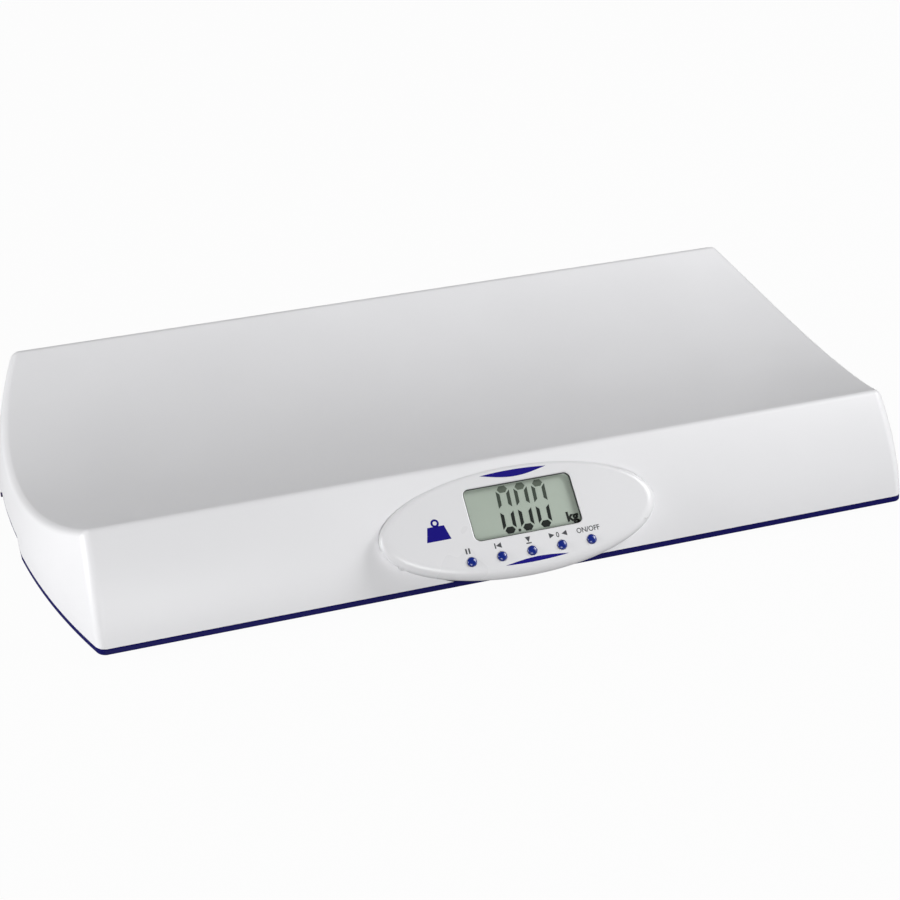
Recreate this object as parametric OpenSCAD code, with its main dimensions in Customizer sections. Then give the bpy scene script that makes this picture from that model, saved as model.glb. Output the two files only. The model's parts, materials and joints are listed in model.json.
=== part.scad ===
// Baby weighing scale: one moulded housing with a curved tray on top, closed
// below by a base shell that stands on four load-cell feet, and an oval
// display pod with five keys on the front wall.
// Millimetres, +Z up, z = 0 on the table, +Y to the back.

/* [Housing] */
// Length of the base over its bowed ends
body_l = 600; // [580:1:620]
// Depth of the base from front to back
body_d = 324; // [316:1:332]
// Height of the two lips above the bottom of the rim
body_h = 66; // [63:0.5:69]
// How far each end bows out past its corners
end_bow = 28; // [24:0.5:32]
// How far the end walls lean in from bottom to top
end_lean = 13.7; // [11:0.1:16]
// Bulge of the end walls between bottom and top
end_bulge = 2.4; // [1.8:0.1:3]
// How far the front and back walls lean in from bottom to lip
wall_lean = 39; // [37:0.5:41.5]
// Depth of the tray below its lips
tray_sag = 29; // [26:0.5:31]
// Bulge of the front and back walls between base and lip
wall_bulge = 6; // [5:0.1:7]
// Radius on the lips
lip_r = 5; // [4.4:0.1:5.6]
// Thickness of the housing's walls
wall_t = 2.8; // [2.4:0.1:3.1]
// Thickness of the ribs under the tray
rib_t = 1.8; // [1.4:0.1:2.4]
// Height of the ribs' lower edges above the bottom of the rim
rib_z = 26; // [24:0.5:28]
// Distance between the ribs that run from front to back
rib_pitch = 90; // [80:1:100]
// Distance between the ribs that run lengthwise
rib_pitch_y = 59; // [54:1:62]

/* [Base] */
// Height of the coloured rim
rim_h = 3.3; // [3:0.1:4]
// Thickness of the base's floor
floor_t = 2.5; // [2.1:0.1:2.8]
// Thickness of the locating ring inside the housing
ring_t = 2; // [1.5:0.1:2.4]
// Height of the locating ring above the rim
ring_h = 5; // [4:0.5:5.5]
// Clearance between the locating ring and the housing's wall
ring_gap = 0.3; // [0.2:0.05:0.5]
// Width of a grip recess at the bottom
grip_w = 88; // [80:1:94]
// Width of a grip recess at its top edge
grip_top_w = 60; // [54:1:70]
// Height of a grip recess above the bottom of the rim
grip_h = 11; // [10:0.5:13]
// How far a grip recess reaches into the end
grip_depth = 29; // [25:0.5:33]
// Thickness of the grip recess's roof and cheeks
grip_t = 1.6; // [1.3:0.1:2]
// Clearance between the grip recess and the housing's cut-out
grip_gap = 0.2; // [0.1:0.05:0.4]

/* [Feet and load cells] */
// Height of the base's underside above the table
foot_h = 6; // [5.5:0.1:7]
// Distance of a foot's axis from the end of the base
foot_inset_x = 85; // [82:1:92]
// Distance of a foot's axis from the front or back of the base
foot_inset_y = 67; // [62:1:73]
// Radius of a foot's disc
foot_r = 15; // [13.5:0.5:16]
// Radius of a foot's rubber pad
pad_r = 13; // [11:0.5:13.4]
// Thickness of a rubber pad
pad_t = 2; // [1.5:0.1:2.5]
// Gap between a foot's disc and the base above it
foot_gap = 1; // [0.6:0.1:1.3]
// Radius of a foot's neck
neck_r = 5; // [4.4:0.1:5.6]
// Side of the square load cell
cell_w = 34; // [32:0.5:35]
// Thickness of the load cell
cell_t = 2.6; // [2:0.1:3]
// Gap under the load cell, for its travel
cell_gap = 1.1; // [0.8:0.1:1.4]
// Radius of the hole in the load cell's tongue
tongue_hole_r = 3; // [2.5:0.1:3.4]
// Thickness of the carrier's plate over a load cell
carrier_t = 2.8; // [2.4:0.1:3.4]
// Width of the carrier's wall round the load cell
carrier_rim = 2.8; // [2:0.1:3.4]
// Distance between a carrier's two screws
ear_span = 52; // [50:0.5:56]

/* [Display pod] */
// Tilt of the display panel up from level
panel_tilt = 40; // [39:0.25:41]
// Width of the oval pod
pod_w = 188; // [182:1:196]
// Height of the oval pod along its slope
pod_d = 72; // [71:0.5:74]
// Distance down the slope from the lip to the oval's centre
pod_drop = 45; // [44:0.5:46.5]
// How far the panel stands proud of the lip
pod_proud = 1; // [0.6:0.1:1.6]
// Radius on the edge of the pod
pod_edge_r = 3; // [2:0.1:3.4]
// Thickness of the pod's face and wall
pod_t = 2.4; // [2:0.1:2.6]
// How far the pod's underside hangs below the lips
pod_hang = 61; // [60:0.1:61.8]
// Clearance between the pod and the housing
pod_gap = 0.2; // [0.1:0.05:0.3]
// Width of the display window
window_w = 72.5; // [68:0.5:74]
// Height of the display window along the slope
window_d = 34.6; // [32:0.2:35.4]
// Radius of the window's corners
window_r = 4; // [2.5:0.1:5]
// How far the window sits right of the centre
window_x = 2.2; // [1:0.1:2.6]
// Distance down the slope from the lip to the window's centre
window_drop = 35.4; // [35:0.1:36]

/* [Keys] */
// Radius of a key's cap
key_r = 3; // [2.6:0.05:3.2]
// Distance between neighbouring keys
key_pitch = 20.1; // [19:0.1:20.4]
// Distance down the slope from the lip to the keys
key_drop = 64.9; // [64.5:0.1:65.6]
// Height of a key's dome above the panel
key_proud = 1.6; // [1.3:0.1:2]
// Height of the rounded part of a dome
key_dome = 1; // [0.7:0.1:1.2]
// Travel of a key
key_travel = 0.6; // [0.4:0.05:0.6]
// Radial clearance of a key in its hole
key_gap = 0.08; // [0.04:0.01:0.1]
// Radius of a key's stem
stem_r = 1.5; // [1.2:0.1:1.6]
// Play between a key's flange and the panel
key_play = 0.1; // [0.05:0.05:0.2]
// Thickness of a key's flange
flange_t = 1.2; // [0.9:0.1:1.4]
// Side of a push switch
switch_w = 6; // [5.6:0.1:6.4]
// Height of a push switch's case
switch_h = 3.5; // [3.3:0.1:3.8]
// Radius of a switch's plunger
plunger_r = 1.7; // [1.6:0.05:1.9]
// Radial clearance of a plunger in its switch
plunger_gap = 0.05; // [0.03:0.01:0.1]

/* [Display and board] */
// Thickness of the clear lens
lens_t = 1.2; // [1:0.1:1.4]
// How far the lens and the display reach past the window
lens_edge = 1.6; // [1.2:0.1:1.8]
// Thickness of the liquid crystal display
lcd_t = 2.2; // [1.8:0.1:2.6]
// Gap between the lens and the display
lcd_gap = 0.2; // [0.1:0.05:0.3]
// Thickness of the display holder's walls
holder_t = 1.2; // [1:0.1:1.3]
// Width of the circuit board
board_w = 98; // [95:0.5:100]
// Height of the circuit board along the slope
board_d = 48; // [47:0.5:49]
// Thickness of the circuit board
board_t = 1.6; // [1.2:0.1:2]
// Depth of the circuit board's face under the panel
board_depth = 12; // [11.6:0.1:12.4]
// Distance down the slope from the lip to the board's centre
board_drop = 44; // [43.5:0.1:44.5]
// Distance between the left and the right board bosses
board_boss_span = 90.4; // [89.6:0.2:91]
// Radius of the board bosses
board_boss_r = 2.4; // [2:0.1:2.5]
// Radius of the sounder
buzzer_r = 6; // [5:0.5:7]
// Height of the sounder
buzzer_h = 6; // [4:0.5:7]
// Height of the lead sockets
socket_h = 6; // [5:0.5:6.5]
// Radius of the inner leads
lead_r = 1.1; // [0.8:0.1:1.3]

/* [Battery] */
// Radius of a cell
aa_r = 7.15; // [6.9:0.05:7.2]
// Length of a cell over its button
aa_l = 50.5; // [49.5:0.1:50.9]
// Distance between neighbouring cells
aa_pitch = 14.8; // [14.6:0.1:15.2]
// Room for the contacts at each end of the cells
contact_room = 3.2; // [2.8:0.1:3.6]
// Thickness of the battery box's walls
box_t = 1.5; // [1.2:0.1:1.8]
// How far the battery bay sits behind the middle of the tray
bay_y = 30; // [20:1:36]
// Thickness of the battery door
door_t = 2; // [1.7:0.1:2.1]
// Clearance round the battery door
door_gap = 0.35; // [0.3:0.05:0.45]
// Radius of the door's hinge barrel
barrel_r = 1.5; // [1.4:0.1:1.8]
// Radius of the hinge pins
hinge_pin_r = 0.8; // [0.6:0.05:0.85]
// Radial clearance of the hinge pins
hinge_pin_gap = 0.05; // [0.03:0.01:0.1]
// Width of the door's latch
latch_w = 12; // [9:0.5:16]

/* [Screws and inlet] */
// Distance of the outer housing screws from the end of the base
screw_inset_x = 42; // [41:1:44]
// Distance of the housing screws from the front or back of the base
screw_inset_y = 44; // [42:1:47]
// Distance of the inner housing screws from the side of the pod
screw_pod_gap = 11; // [8:1:20]
// Length of a housing screw's shank
screw_l = 14; // [12:0.5:16]
// Length of a board screw's shank
board_screw_l = 7; // [6:0.5:8]
// Radius of the screw posts in the base
post_r = 5.5; // [5:0.1:5.8]
// Height of the screw posts above the bottom of the rim
post_h = 9; // [8.2:0.2:10]
// Radius of the housing's screw bosses
boss_r = 4; // [3.4:0.1:4.6]
// Radius of a housing screw's thread
screw_r = 1.45; // [1.2:0.05:1.6]
// Radius of a small screw's thread
small_screw_r = 0.9; // [0.75:0.05:1]
// Clearance between a screw and its pilot hole
pilot_gap = 0.05; // [0.03:0.01:0.1]
// Distance of the power inlet right of the middle
inlet_x = 60; // [50:1:80]
// Height of the power inlet above the bottom of the rim
inlet_z = 14.5; // [14:0.1:16]
// Radius of the inlet's barrel
inlet_r = 4.2; // [3.8:0.1:4.6]
// Radius of the inlet's socket
inlet_bore_r = 2.75; // [2.5:0.05:3]

/* [Hidden] */
corners = ["front_left", "front_right", "rear_left", "rear_right"];
key_names = ["hold_key", "recall_key", "store_key", "tare_key", "power_key"];
function named(prefix, names) = [for (n = names) str(prefix, n)];

fine = 180;  // facets that stand for a true circle on large curves
eps = 0.01;
big = 40;

// Radius of the arc over a chord that rises by a bulge in its middle.
function arc_r(chord, bulge) = chord * chord / (8 * bulge) + bulge / 2;

// Centre of the arc from a to b that bulges to the left of the way.
function arc_c(a, b, bulge) =
    let (way = b - a, chord = norm(way), left = [-way[1], way[0]] / chord)
    (a + b) / 2 + left * (bulge - arc_r(chord, bulge));

// Point where two circles meet, to the left of the line from c1 to c2.
function meet(c1, r1, c2, r2) =
    let (way = c2 - c1, d = norm(way), e = way / d, a = (r1 * r1 - r2 * r2 + d * d) / (2 * d))
    c1 + e * a + [-e[1], e[0]] * sqrt(r1 * r1 - a * a);

// Section of the body across its length: the front wall's arc, the tray's arc
// and the rounded lip between them, as points [y, z].
lip_span = body_d - 2 * wall_lean;
wall_foot = [-body_d / 2, 0];
wall_top = [-lip_span / 2, body_h];
wall_r = arc_r(norm(wall_top - wall_foot), wall_bulge);
wall_c = arc_c(wall_foot, wall_top, wall_bulge);
tray_r = arc_r(lip_span, tray_sag);
tray_c = [0, body_h - tray_sag + tray_r];
lip_c = meet(wall_c, wall_r - lip_r, tray_c, tray_r + lip_r);
lip_out = (lip_c - wall_c) / norm(lip_c - wall_c);
lip_in = (tray_c - lip_c) / norm(tray_c - lip_c);
split_y = -lip_span / 2 + 40;

// End walls: solids of revolution about an upright axis, points [r, z].
end_r = (pow(body_d / 2, 2) + pow(end_bow, 2)) / (2 * end_bow);
end_axis_x = body_l / 2 - end_r;
end_wall_r = arc_r(norm([end_lean, body_h]), end_bulge);
end_wall_c = arc_c([end_r - end_lean, body_h], [end_r, 0], end_bulge);

// The pod reaches furthest forward at its lower edge; the origin lies midway
// between that edge and the back of the base.
pod_a = pod_w / 2;
pod_b = pod_d / 2;
pod_low = body_h - pod_hang;
pod_reach = lip_span / 2 + (pod_drop + pod_b - pod_edge_r) * cos(panel_tilt)
    + (pod_proud - pod_edge_r) * sin(panel_tilt) + pod_edge_r;
body_y = (pod_reach - body_d / 2) / 2;

// Panel frame: x right, y up the slope, z out of the panel's face.
function to_body(p) = [
    p[0],
    wall_top[0] + p[1] * cos(panel_tilt) - (p[2] + pod_proud) * sin(panel_tilt),
    wall_top[1] + p[1] * sin(panel_tilt) + (p[2] + pod_proud) * cos(panel_tilt)];
wall_c_panel = let (d = wall_c - wall_top)
    [d[0] * cos(panel_tilt) + d[1] * sin(panel_tilt),
     -d[0] * sin(panel_tilt) + d[1] * cos(panel_tilt) - pod_proud];
// Depth of the housing's front wall under the panel at slope position y.
function wall_at(y) = wall_c_panel[1] + sqrt(pow(wall_r, 2) - pow(y - wall_c_panel[0], 2));

// Levels of the stack under the panel.
lens_w = window_w + 2 * lens_edge;
lens_d = window_d + 2 * lens_edge;
lcd_top = -pod_t - lens_t - lcd_gap;
lcd_ledge = 2.4;  // lower ledge of the display, where the connector strip meets it
lcd_fit = 0.05;
strip_t = 1.8;
strip_y = 0.4;
strip_inset = 3;
holder_lip = 2.5;
holder_w = lens_w + 2 * holder_t;
holder_d = lens_d + 2 * holder_t;
board_top = -board_depth;
board_low = board_top - board_t;
switch_top = board_top + switch_h;
plunger_out = 0.8;
plunger_top = switch_top + plunger_out;
plunger_l = 3;
flange_top = -pod_t - key_play;
flange_r = key_r + 0.9;
hole_a = pod_a - 16;
hole_b = pod_b - 6;
hole_gap = 0.5;
hole_reach = 23;  // how far the opening under the pod goes behind the lip
board_boss_y = [-window_drop + 9.4, -window_drop - 21.6];
pod_screw_x = pod_a - 14;
pod_screw_dy = 10;
pod_screw_skin = 1.4;  // from the tip of a pod screw to the back of the panel
pod_boss_r = 2.8;
pod_pad_r = 4;
chip_w = 14;
chip_t = 1.6;
chip_x = -30;
chip_y = -6;
buzzer_x = 30;
buzzer_hole_r = 1;
socket_w = 26;
socket_d = 5;
socket_y = -50;
power_socket_x = 24;
power_socket_w = 9;

// Levels of the feet and load cells, from the rim's bottom.
foot_low = -foot_h + pad_t;
cell_low = floor_t + cell_gap;
cell_top = cell_low + cell_t;
cell_fit = 0.2;
carrier_w = cell_w + 2 * cell_fit + 2 * carrier_rim;
ear_w = 12;
ear_l = ear_span + 10;
ear_boss_r = 3.5;
tongue_w = 14;
tongue_l = 22;
slot_w = 1.6;
foot_at = [for (sy = [-1, 1], sx = [-1, 1])
    [sx * (body_l / 2 - foot_inset_x), sy * (body_d / 2 - foot_inset_y)]];

// Battery bay, around its own centre.
aa_n = 4;
aa_low = door_t + 0.4;
aa_z = aa_low + aa_r;
button_h = 1.3;
button_r = 2.7;
contact_t = 0.4;
spring_r = 4.3;
bay_in_x = aa_l / 2 + contact_room;
bay_in_y = aa_n * aa_pitch / 2 + 0.2;
bay_out_x = bay_in_x + box_t;
bay_out_y = bay_in_y + box_t;
box_low = door_t + 0.2;
box_top = aa_z + aa_r + 0.4 + box_t;
hinge_y = bay_out_y + 2 * barrel_r + 1;
door_front = -bay_out_y - 2;
door_x = bay_out_x + 3;
door_ear_x = door_x + 6;
box_ear_z = 6;
box_ear_t = 2;
box_screw_y = 18;
box_post_r = 3;
notch_r = 8;  // finger notch in front of the door
latch_t = 1.2;
latch_barb = 0.2;
latch_h = 5;

// Screws.
screw_clear = 0.3;
head_r = 2.1 * screw_r;
head_h = 2.4;
small_head_r = 2.3 * small_screw_r;
small_head_h = 1.4;
carrier_screw_r = small_screw_r + 0.3;
carrier_head_r = small_head_r + 0.6;
carrier_head_h = 2;
screw_floor = 1.6;  // what a screw leaves of the plastic below its tip
counterbore = post_h - 2.5;
screw_y = body_d / 2 - screw_inset_y;
screw_outer_x = body_l / 2 - screw_inset_x;
screw_inner_x = pod_a + screw_pod_gap;
housing_screws_at =
    [for (x = [screw_outer_x, screw_inner_x], sx = [-1, 1], sy = [-1, 1]) [sx * x, sy * screw_y]];
sound_r = 1.2;
sound_pitch = 6;
inlet_body = [9, 12, 11];
inlet_bore_l = 10;
inlet_pin_r = 1;
inlet_wall_y = -wall_c[0] + sqrt(pow(wall_r, 2) - pow(inlet_z - wall_c[1], 2));
inlet_back = inlet_wall_y - 6;

module in_place() {
    translate([0, body_y, foot_h]) children();
}

module on_panel() {
    in_place() translate([0, wall_top[0], wall_top[1]]) rotate([panel_tilt, 0, 0])
        translate([0, 0, pod_proud]) children();
}

module rounded_rect(w, d, r) {
    square([w - 2 * r, d], center = true);
    square([w, d - 2 * r], center = true);
    for (sx = [-1, 1], sy = [-1, 1])
        translate([sx * (w / 2 - r), sy * (d / 2 - r)]) circle(r = r, $fn = 48);
}

module oval(a, b) {
    scale([a / b, 1]) circle(r = b, $fn = 120);
}

// ---- the body's outer form, set in by i ----

module half_section(i, low) {
    difference() {
        union() {
            intersection() {
                translate(wall_c) circle(r = wall_r - i, $fn = fine);
                translate([-body_d, low]) square([body_d + split_y, body_h + big]);
            }
            translate([split_y - eps, low]) square([-split_y + eps, body_h - low]);
        }
        translate(tray_c) circle(r = tray_r + i, $fn = fine);
        polygon([lip_c, lip_c + lip_out * big, lip_c + (lip_out + lip_in) * big, lip_c + lip_in * big]);
    }
    translate(lip_c) circle(r = lip_r - i, $fn = 64);
}

module body_bar(i, low, length) {
    rotate([90, 0, 90]) translate([0, 0, -length / 2]) linear_extrude(length) {
        half_section(i, low);
        mirror([1, 0]) half_section(i, low);
    }
}

module end_disc(i) {
    translate([end_axis_x, 0, 0]) rotate_extrude($fn = 360) {
        translate([0, -big]) square([end_wall_c[0], body_h + 2 * big]);
        intersection() {
            translate(end_wall_c) circle(r = end_wall_r - i, $fn = fine);
            translate([end_wall_c[0] - eps, -big]) square([end_wall_r, body_h + 2 * big]);
        }
    }
}

module body_solid(i, low) {
    intersection() {
        body_bar(i, low, body_l + big);
        end_disc(i);
        mirror([1, 0, 0]) end_disc(i);
    }
}

// Lower part of the body's form between two levels, with plain arcs for walls.
module body_band(i, low, high) {
    intersection() {
        rotate([90, 0, 90]) translate([0, 0, -body_l / 2 - big / 2]) linear_extrude(body_l + big)
            for (m = [0, 1]) mirror([m, 0]) {
                intersection() {
                    translate(wall_c) circle(r = wall_r - i, $fn = fine);
                    translate([-body_d, low]) square([body_d + split_y, high - low]);
                }
                translate([split_y - eps, low]) square([-split_y + eps, high - low]);
            }
        end_disc(i);
        mirror([1, 0, 0]) end_disc(i);
    }
}

// Half the width of a grip recess at a level, grown by a distance square to
// its slanted sides.
grip_slope = (grip_w - grip_top_w) / 2 / grip_h;
function grip_half(level, grow) = grip_w / 2 - grip_slope * level + grow * norm([1, grip_slope]);

module grip_prism(grow, inner_x, low) {
    high = grip_h + grow;
    rotate([90, 0, 90]) translate([0, 0, inner_x]) linear_extrude(body_l / 2 + big - inner_x)
        polygon([[-grip_half(low, grow), low], [grip_half(low, grow), low],
                 [grip_half(high, grow), high], [-grip_half(high, grow), high]]);
}

module both_ends() {
    children();
    mirror([1, 0, 0]) children();
}

module panel_hole() {
    translate([0, -pod_drop, -big]) linear_extrude(2 * big) oval(hole_a, hole_b);
    translate([window_x, -window_drop, -big]) linear_extrude(2 * big)
        square([holder_w + 2 * hole_gap, holder_d + 2 * hole_gap], center = true);
}

function pod_screws_at() =
    [for (sx = [-1, 1], sy = [-1, 1]) [sx * pod_screw_x, -pod_drop + sy * pod_screw_dy]];
function pad_low(y) = wall_at(y - pod_pad_r) - 1.4 * wall_t;

module panel_pads() {
    for (p = pod_screws_at())
        translate([p[0], p[1], pad_low(p[1])]) cylinder(r = pod_pad_r, h = wall_t + big / 4, $fn = 48);
}

module housing_stiffening() {
    intersection() {
        body_solid(wall_t / 2, post_h);
        union() {
            for (p = housing_screws_at)
                translate([p[0], p[1], post_h]) cylinder(r = boss_r, h = body_h, $fn = 48);
            for (k = [-2.5:1:2.5]) translate([k * rib_pitch - rib_t / 2, -screw_y, rib_z])
                cube([rib_t, 2 * screw_y, body_h]);
            for (k = [-2:1:2]) translate([-screw_outer_x, k * rib_pitch_y - rib_t / 2, rib_z])
                cube([2 * screw_outer_x, rib_t, body_h]);
        }
    }
}

module upper_housing() {
    color("white") difference() {
        union() {
            in_place() difference() {
                body_solid(0, rim_h);
                body_solid(wall_t, rim_h - 1);
            }
            in_place() housing_stiffening();
            intersection() {
                in_place() body_bar(wall_t / 2, rim_h, pod_w + big);
                on_panel() panel_pads();
            }
        }
        in_place() both_ends() grip_prism(grip_gap, body_l / 2 - wall_t - grip_depth / 2, -1);
        intersection() {
            on_panel() panel_hole();
            in_place() translate([-pod_a, -body_d / 2 - big, rim_h + 2])
                cube([pod_w, wall_lean + hole_reach + big, body_h]);
        }
        on_panel() for (p = pod_screws_at())
            translate([p[0], p[1], pad_low(p[1]) - big / 4])
                cylinder(r = small_screw_r + screw_clear, h = big, $fn = 32);
        in_place() for (p = housing_screws_at)
            translate([p[0], p[1], post_h - eps]) cylinder(r = screw_r + pilot_gap, h = screw_l, $fn = 32);
        in_place() translate([inlet_x, inlet_back, inlet_z]) rotate([-90, 0, 0])
            cylinder(r = inlet_r + 0.2, h = big, $fn = 48);
    }
}

// ---- base shell ----

module base_cuts() {
    // grip pockets
    both_ends() grip_prism(-grip_t, body_l / 2 - grip_depth, -1);
    // screw posts
    for (p = housing_screws_at) translate([p[0], p[1], -1]) {
        cylinder(r = head_r + 0.4, h = 1 + counterbore, $fn = 48);
        cylinder(r = screw_r + 0.25, h = post_h + 2, $fn = 32);
    }
    // foot openings and carrier screws
    for (p = foot_at) translate([p[0], p[1], 0]) {
        translate([0, 0, -1]) cylinder(r = neck_r + 1.5, h = floor_t + 2, $fn = 48);
        for (s = [-1, 1]) translate([s * ear_span / 2, 0, 1])
            cylinder(r = carrier_screw_r + pilot_gap, h = cell_top + 1, $fn = 32);
    }
    // battery bay, its finger notch and the screws of the battery box
    translate([0, bay_y, 0]) {
        translate([-door_x - door_gap, door_front - door_gap, -1])
            cube([2 * (door_x + door_gap), hinge_y + barrel_r - door_front + 2 * door_gap, floor_t + 2]);
        translate([0, door_front - door_gap, -1]) cylinder(r = notch_r, h = 1 + door_t / 2, $fn = 48);
        for (sx = [-1, 1], sy = [-1, 1]) translate([sx * door_ear_x, sy * box_screw_y, 1])
            cylinder(r = small_screw_r + pilot_gap, h = box_ear_z, $fn = 32);
    }
    // sound holes under the pod
    for (k = [-2:1:2]) translate([k * sound_pitch, -screw_y, -1])
        cylinder(r = sound_r, h = floor_t + 2, $fn = 24);
}

module base_shell() {
    color("midnightblue") in_place() {
        difference() {
            union() {
                difference() {
                    body_band(0, 0, rim_h);
                    body_band(wall_t, floor_t, rim_h + 1);
                }
                difference() {
                    body_band(wall_t + ring_gap, floor_t - eps, rim_h + ring_h);
                    body_band(wall_t + ring_gap + ring_t, floor_t - 1, rim_h + ring_h + 1);
                }
                intersection() {
                    body_band(0, 0, grip_h + 1);
                    both_ends() grip_prism(0, body_l / 2 - grip_depth - grip_t, 0);
                }
                for (p = housing_screws_at) translate([p[0], p[1], 0])
                    cylinder(r = post_r, h = post_h, $fn = 48);
                for (p = foot_at, s = [-1, 1]) translate([p[0] + s * ear_span / 2, p[1], 0])
                    cylinder(r = ear_boss_r, h = cell_top, $fn = 48);
                for (sx = [-1, 1], sy = [-1, 1])
                    translate([sx * door_ear_x, bay_y + sy * box_screw_y, 0])
                        cylinder(r = box_post_r, h = box_ear_z, $fn = 48);
                translate([inlet_x - inlet_body[0] / 2, inlet_back - inlet_body[1], 0])
                    cube([inlet_body[0], inlet_body[1], inlet_z - inlet_body[2] / 2]);
            }
            base_cuts();
        }
        // hinge pins of the battery door
        for (s = [-1, 1]) translate([s * (door_x - 3), bay_y + hinge_y, barrel_r]) rotate([0, s * 90, 0])
            cylinder(r = hinge_pin_r, h = 3 + door_gap + eps, $fn = 32);
    }
}

// ---- display pod ----

module pod_puck(a, b, edge, top, depth) {
    translate([0, -pod_drop, 0]) scale([a / b, 1, 1]) rotate_extrude($fn = 120) {
        polygon(concat(
            [[0, top], [0, top - edge - depth], [b, top - edge - depth]],
            [for (a = [0:30:90]) [b - edge + edge * cos(a), top - edge + edge * sin(a)]]));
    }
}

module above_rim(level) {
    in_place() translate([-pod_w, -body_d, level]) cube([2 * pod_w, body_d + body_d / 2, 2 * body_h]);
}

module display_pod() {
    color("white") {
        difference() {
            union() {
                difference() {
                    intersection() {
                        on_panel() pod_puck(pod_a, pod_b, pod_edge_r, 0, big);
                        above_rim(pod_low);
                    }
                    intersection() {
                        on_panel() pod_puck(pod_a - pod_t, pod_b - pod_t, pod_edge_r / 4, -pod_t, big + 5);
                        above_rim(pod_low + pod_t);
                    }
                }
                on_panel() for (p = pod_screws_at()) translate([p[0], p[1], -big / 2])
                    cylinder(r = pod_boss_r, h = big / 2 - pod_t / 2, $fn = 48);
            }
            in_place() body_bar(-pod_gap, -big, pod_w + big);
            on_panel() {
                translate([window_x, -window_drop, -big / 2]) linear_extrude(big)
                    rounded_rect(window_w, window_d, window_r);
                for (k = [-2:1:2]) translate([k * key_pitch, -key_drop, -big / 4])
                    cylinder(r = key_r + key_gap, h = big / 2, $fn = 48);
                for (p = pod_screws_at()) translate([p[0], p[1], -big / 2])
                    cylinder(r = small_screw_r + pilot_gap, h = big / 2 - pod_t - pod_screw_skin / 2,
                             $fn = 32);
            }
        }
        on_panel() for (sx = [-1, 1], y = board_boss_y) translate([sx * board_boss_span / 2, y, board_top])
            difference() {
                cylinder(r = board_boss_r, h = board_depth - pod_t / 2, $fn = 48);
                translate([0, 0, -1])
                    cylinder(r = small_screw_r + pilot_gap, h = board_screw_l + 1, $fn = 32);
            }
    }
}

module display_lens() {
    color("lightcyan", 0.4) on_panel() translate([window_x, -window_drop, -pod_t - lens_t])
        linear_extrude(lens_t) rounded_rect(lens_w, lens_d, 1.5);
}

module lcd_cell() {
    color("darkseagreen") on_panel() {
        translate([window_x - lens_w / 2, -window_drop - lens_d / 2, lcd_top - lcd_t / 2])
            cube([lens_w, lens_d, lcd_t / 2]);
        translate([window_x - lens_w / 2, -window_drop - lens_d / 2 + lcd_ledge, lcd_top - lcd_t])
            cube([lens_w, lens_d - lcd_ledge, lcd_t / 2]);
    }
}

module lcd_holder() {
    color("dimgray") on_panel() translate([window_x, -window_drop, board_top]) difference() {
        linear_extrude(lcd_top - board_top) square([holder_w, holder_d], center = true);
        translate([0, 0, -1]) linear_extrude(board_depth)
            square([lens_w - 2 * holder_lip, lens_d - 2 * lcd_ledge - 2 * holder_t], center = true);
        translate([0, 0, lcd_top - lcd_t - board_top]) linear_extrude(lcd_t + 1)
            square([lens_w + 2 * lcd_fit, lens_d + 2 * lcd_fit], center = true);
        translate([0, -lens_d / 2 + strip_y + strip_t / 2, -1]) linear_extrude(board_depth)
            square([lens_w - 2 * holder_lip, strip_t + 2 * lcd_fit * 2], center = true);
    }
}

module lcd_connector() {
    color("black") on_panel()
        translate([window_x - lens_w / 2 + strip_inset, -window_drop - lens_d / 2 + strip_y, board_top])
            cube([lens_w - 2 * strip_inset, strip_t, lcd_top - lcd_t / 2 - board_top]);
}

// ---- circuit board ----

module main_board() {
    color("darkgreen") on_panel() difference() {
        translate([0, -board_drop, board_low]) linear_extrude(board_t) rounded_rect(board_w, board_d, 2);
        for (sx = [-1, 1], y = board_boss_y) translate([sx * board_boss_span / 2, y, board_low - 1])
            cylinder(r = small_screw_r + screw_clear, h = board_t + 2, $fn = 32);
    }
}

module board_screws() {
    color("silver") on_panel() for (sx = [-1, 1], y = board_boss_y)
        translate([sx * board_boss_span / 2, y, board_low])
            screw(small_head_r, small_head_h, small_screw_r, board_screw_l);
}

// A screw whose head lies under z = 0 and whose shank rises from it.
module screw(head_radius, head_height, thread_radius, length) {
    difference() {
        union() {
            translate([0, 0, -head_height]) cylinder(r = head_radius, h = head_height, $fn = 48);
            translate([0, 0, -eps]) cylinder(r = thread_radius, h = length, $fn = 32);
        }
        for (a = [0, 90]) rotate(a) translate([-head_radius * 0.6, -head_radius * 0.13, -head_height - 1])
            cube([head_radius * 1.2, head_radius * 0.26, 1 + head_height * 0.55]);
    }
}

module controller_chip() {
    color("black") on_panel() translate([chip_x, -window_drop + chip_y, board_low - chip_t])
        cube([chip_w, chip_w, chip_t]);
}

module buzzer() {
    color("black") on_panel() translate([buzzer_x, -window_drop, board_low - buzzer_h]) difference() {
        cylinder(r = buzzer_r, h = buzzer_h, $fn = 64);
        translate([0, 0, -1]) cylinder(r = buzzer_hole_r, h = 1 + buzzer_h / 4, $fn = 24);
    }
}

module lead_sockets() {
    color("ivory") on_panel() {
        translate([-socket_w / 2, socket_y - socket_d / 2, board_low - socket_h])
            cube([socket_w, socket_d, socket_h]);
        translate([power_socket_x - power_socket_w / 2, socket_y - socket_d / 2, board_low - socket_h])
            cube([power_socket_w, socket_d, socket_h]);
    }
}

// ---- keys ----

module at_key(k) {
    on_panel() translate([(k - 2) * key_pitch, -key_drop, 0]) children();
}

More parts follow.
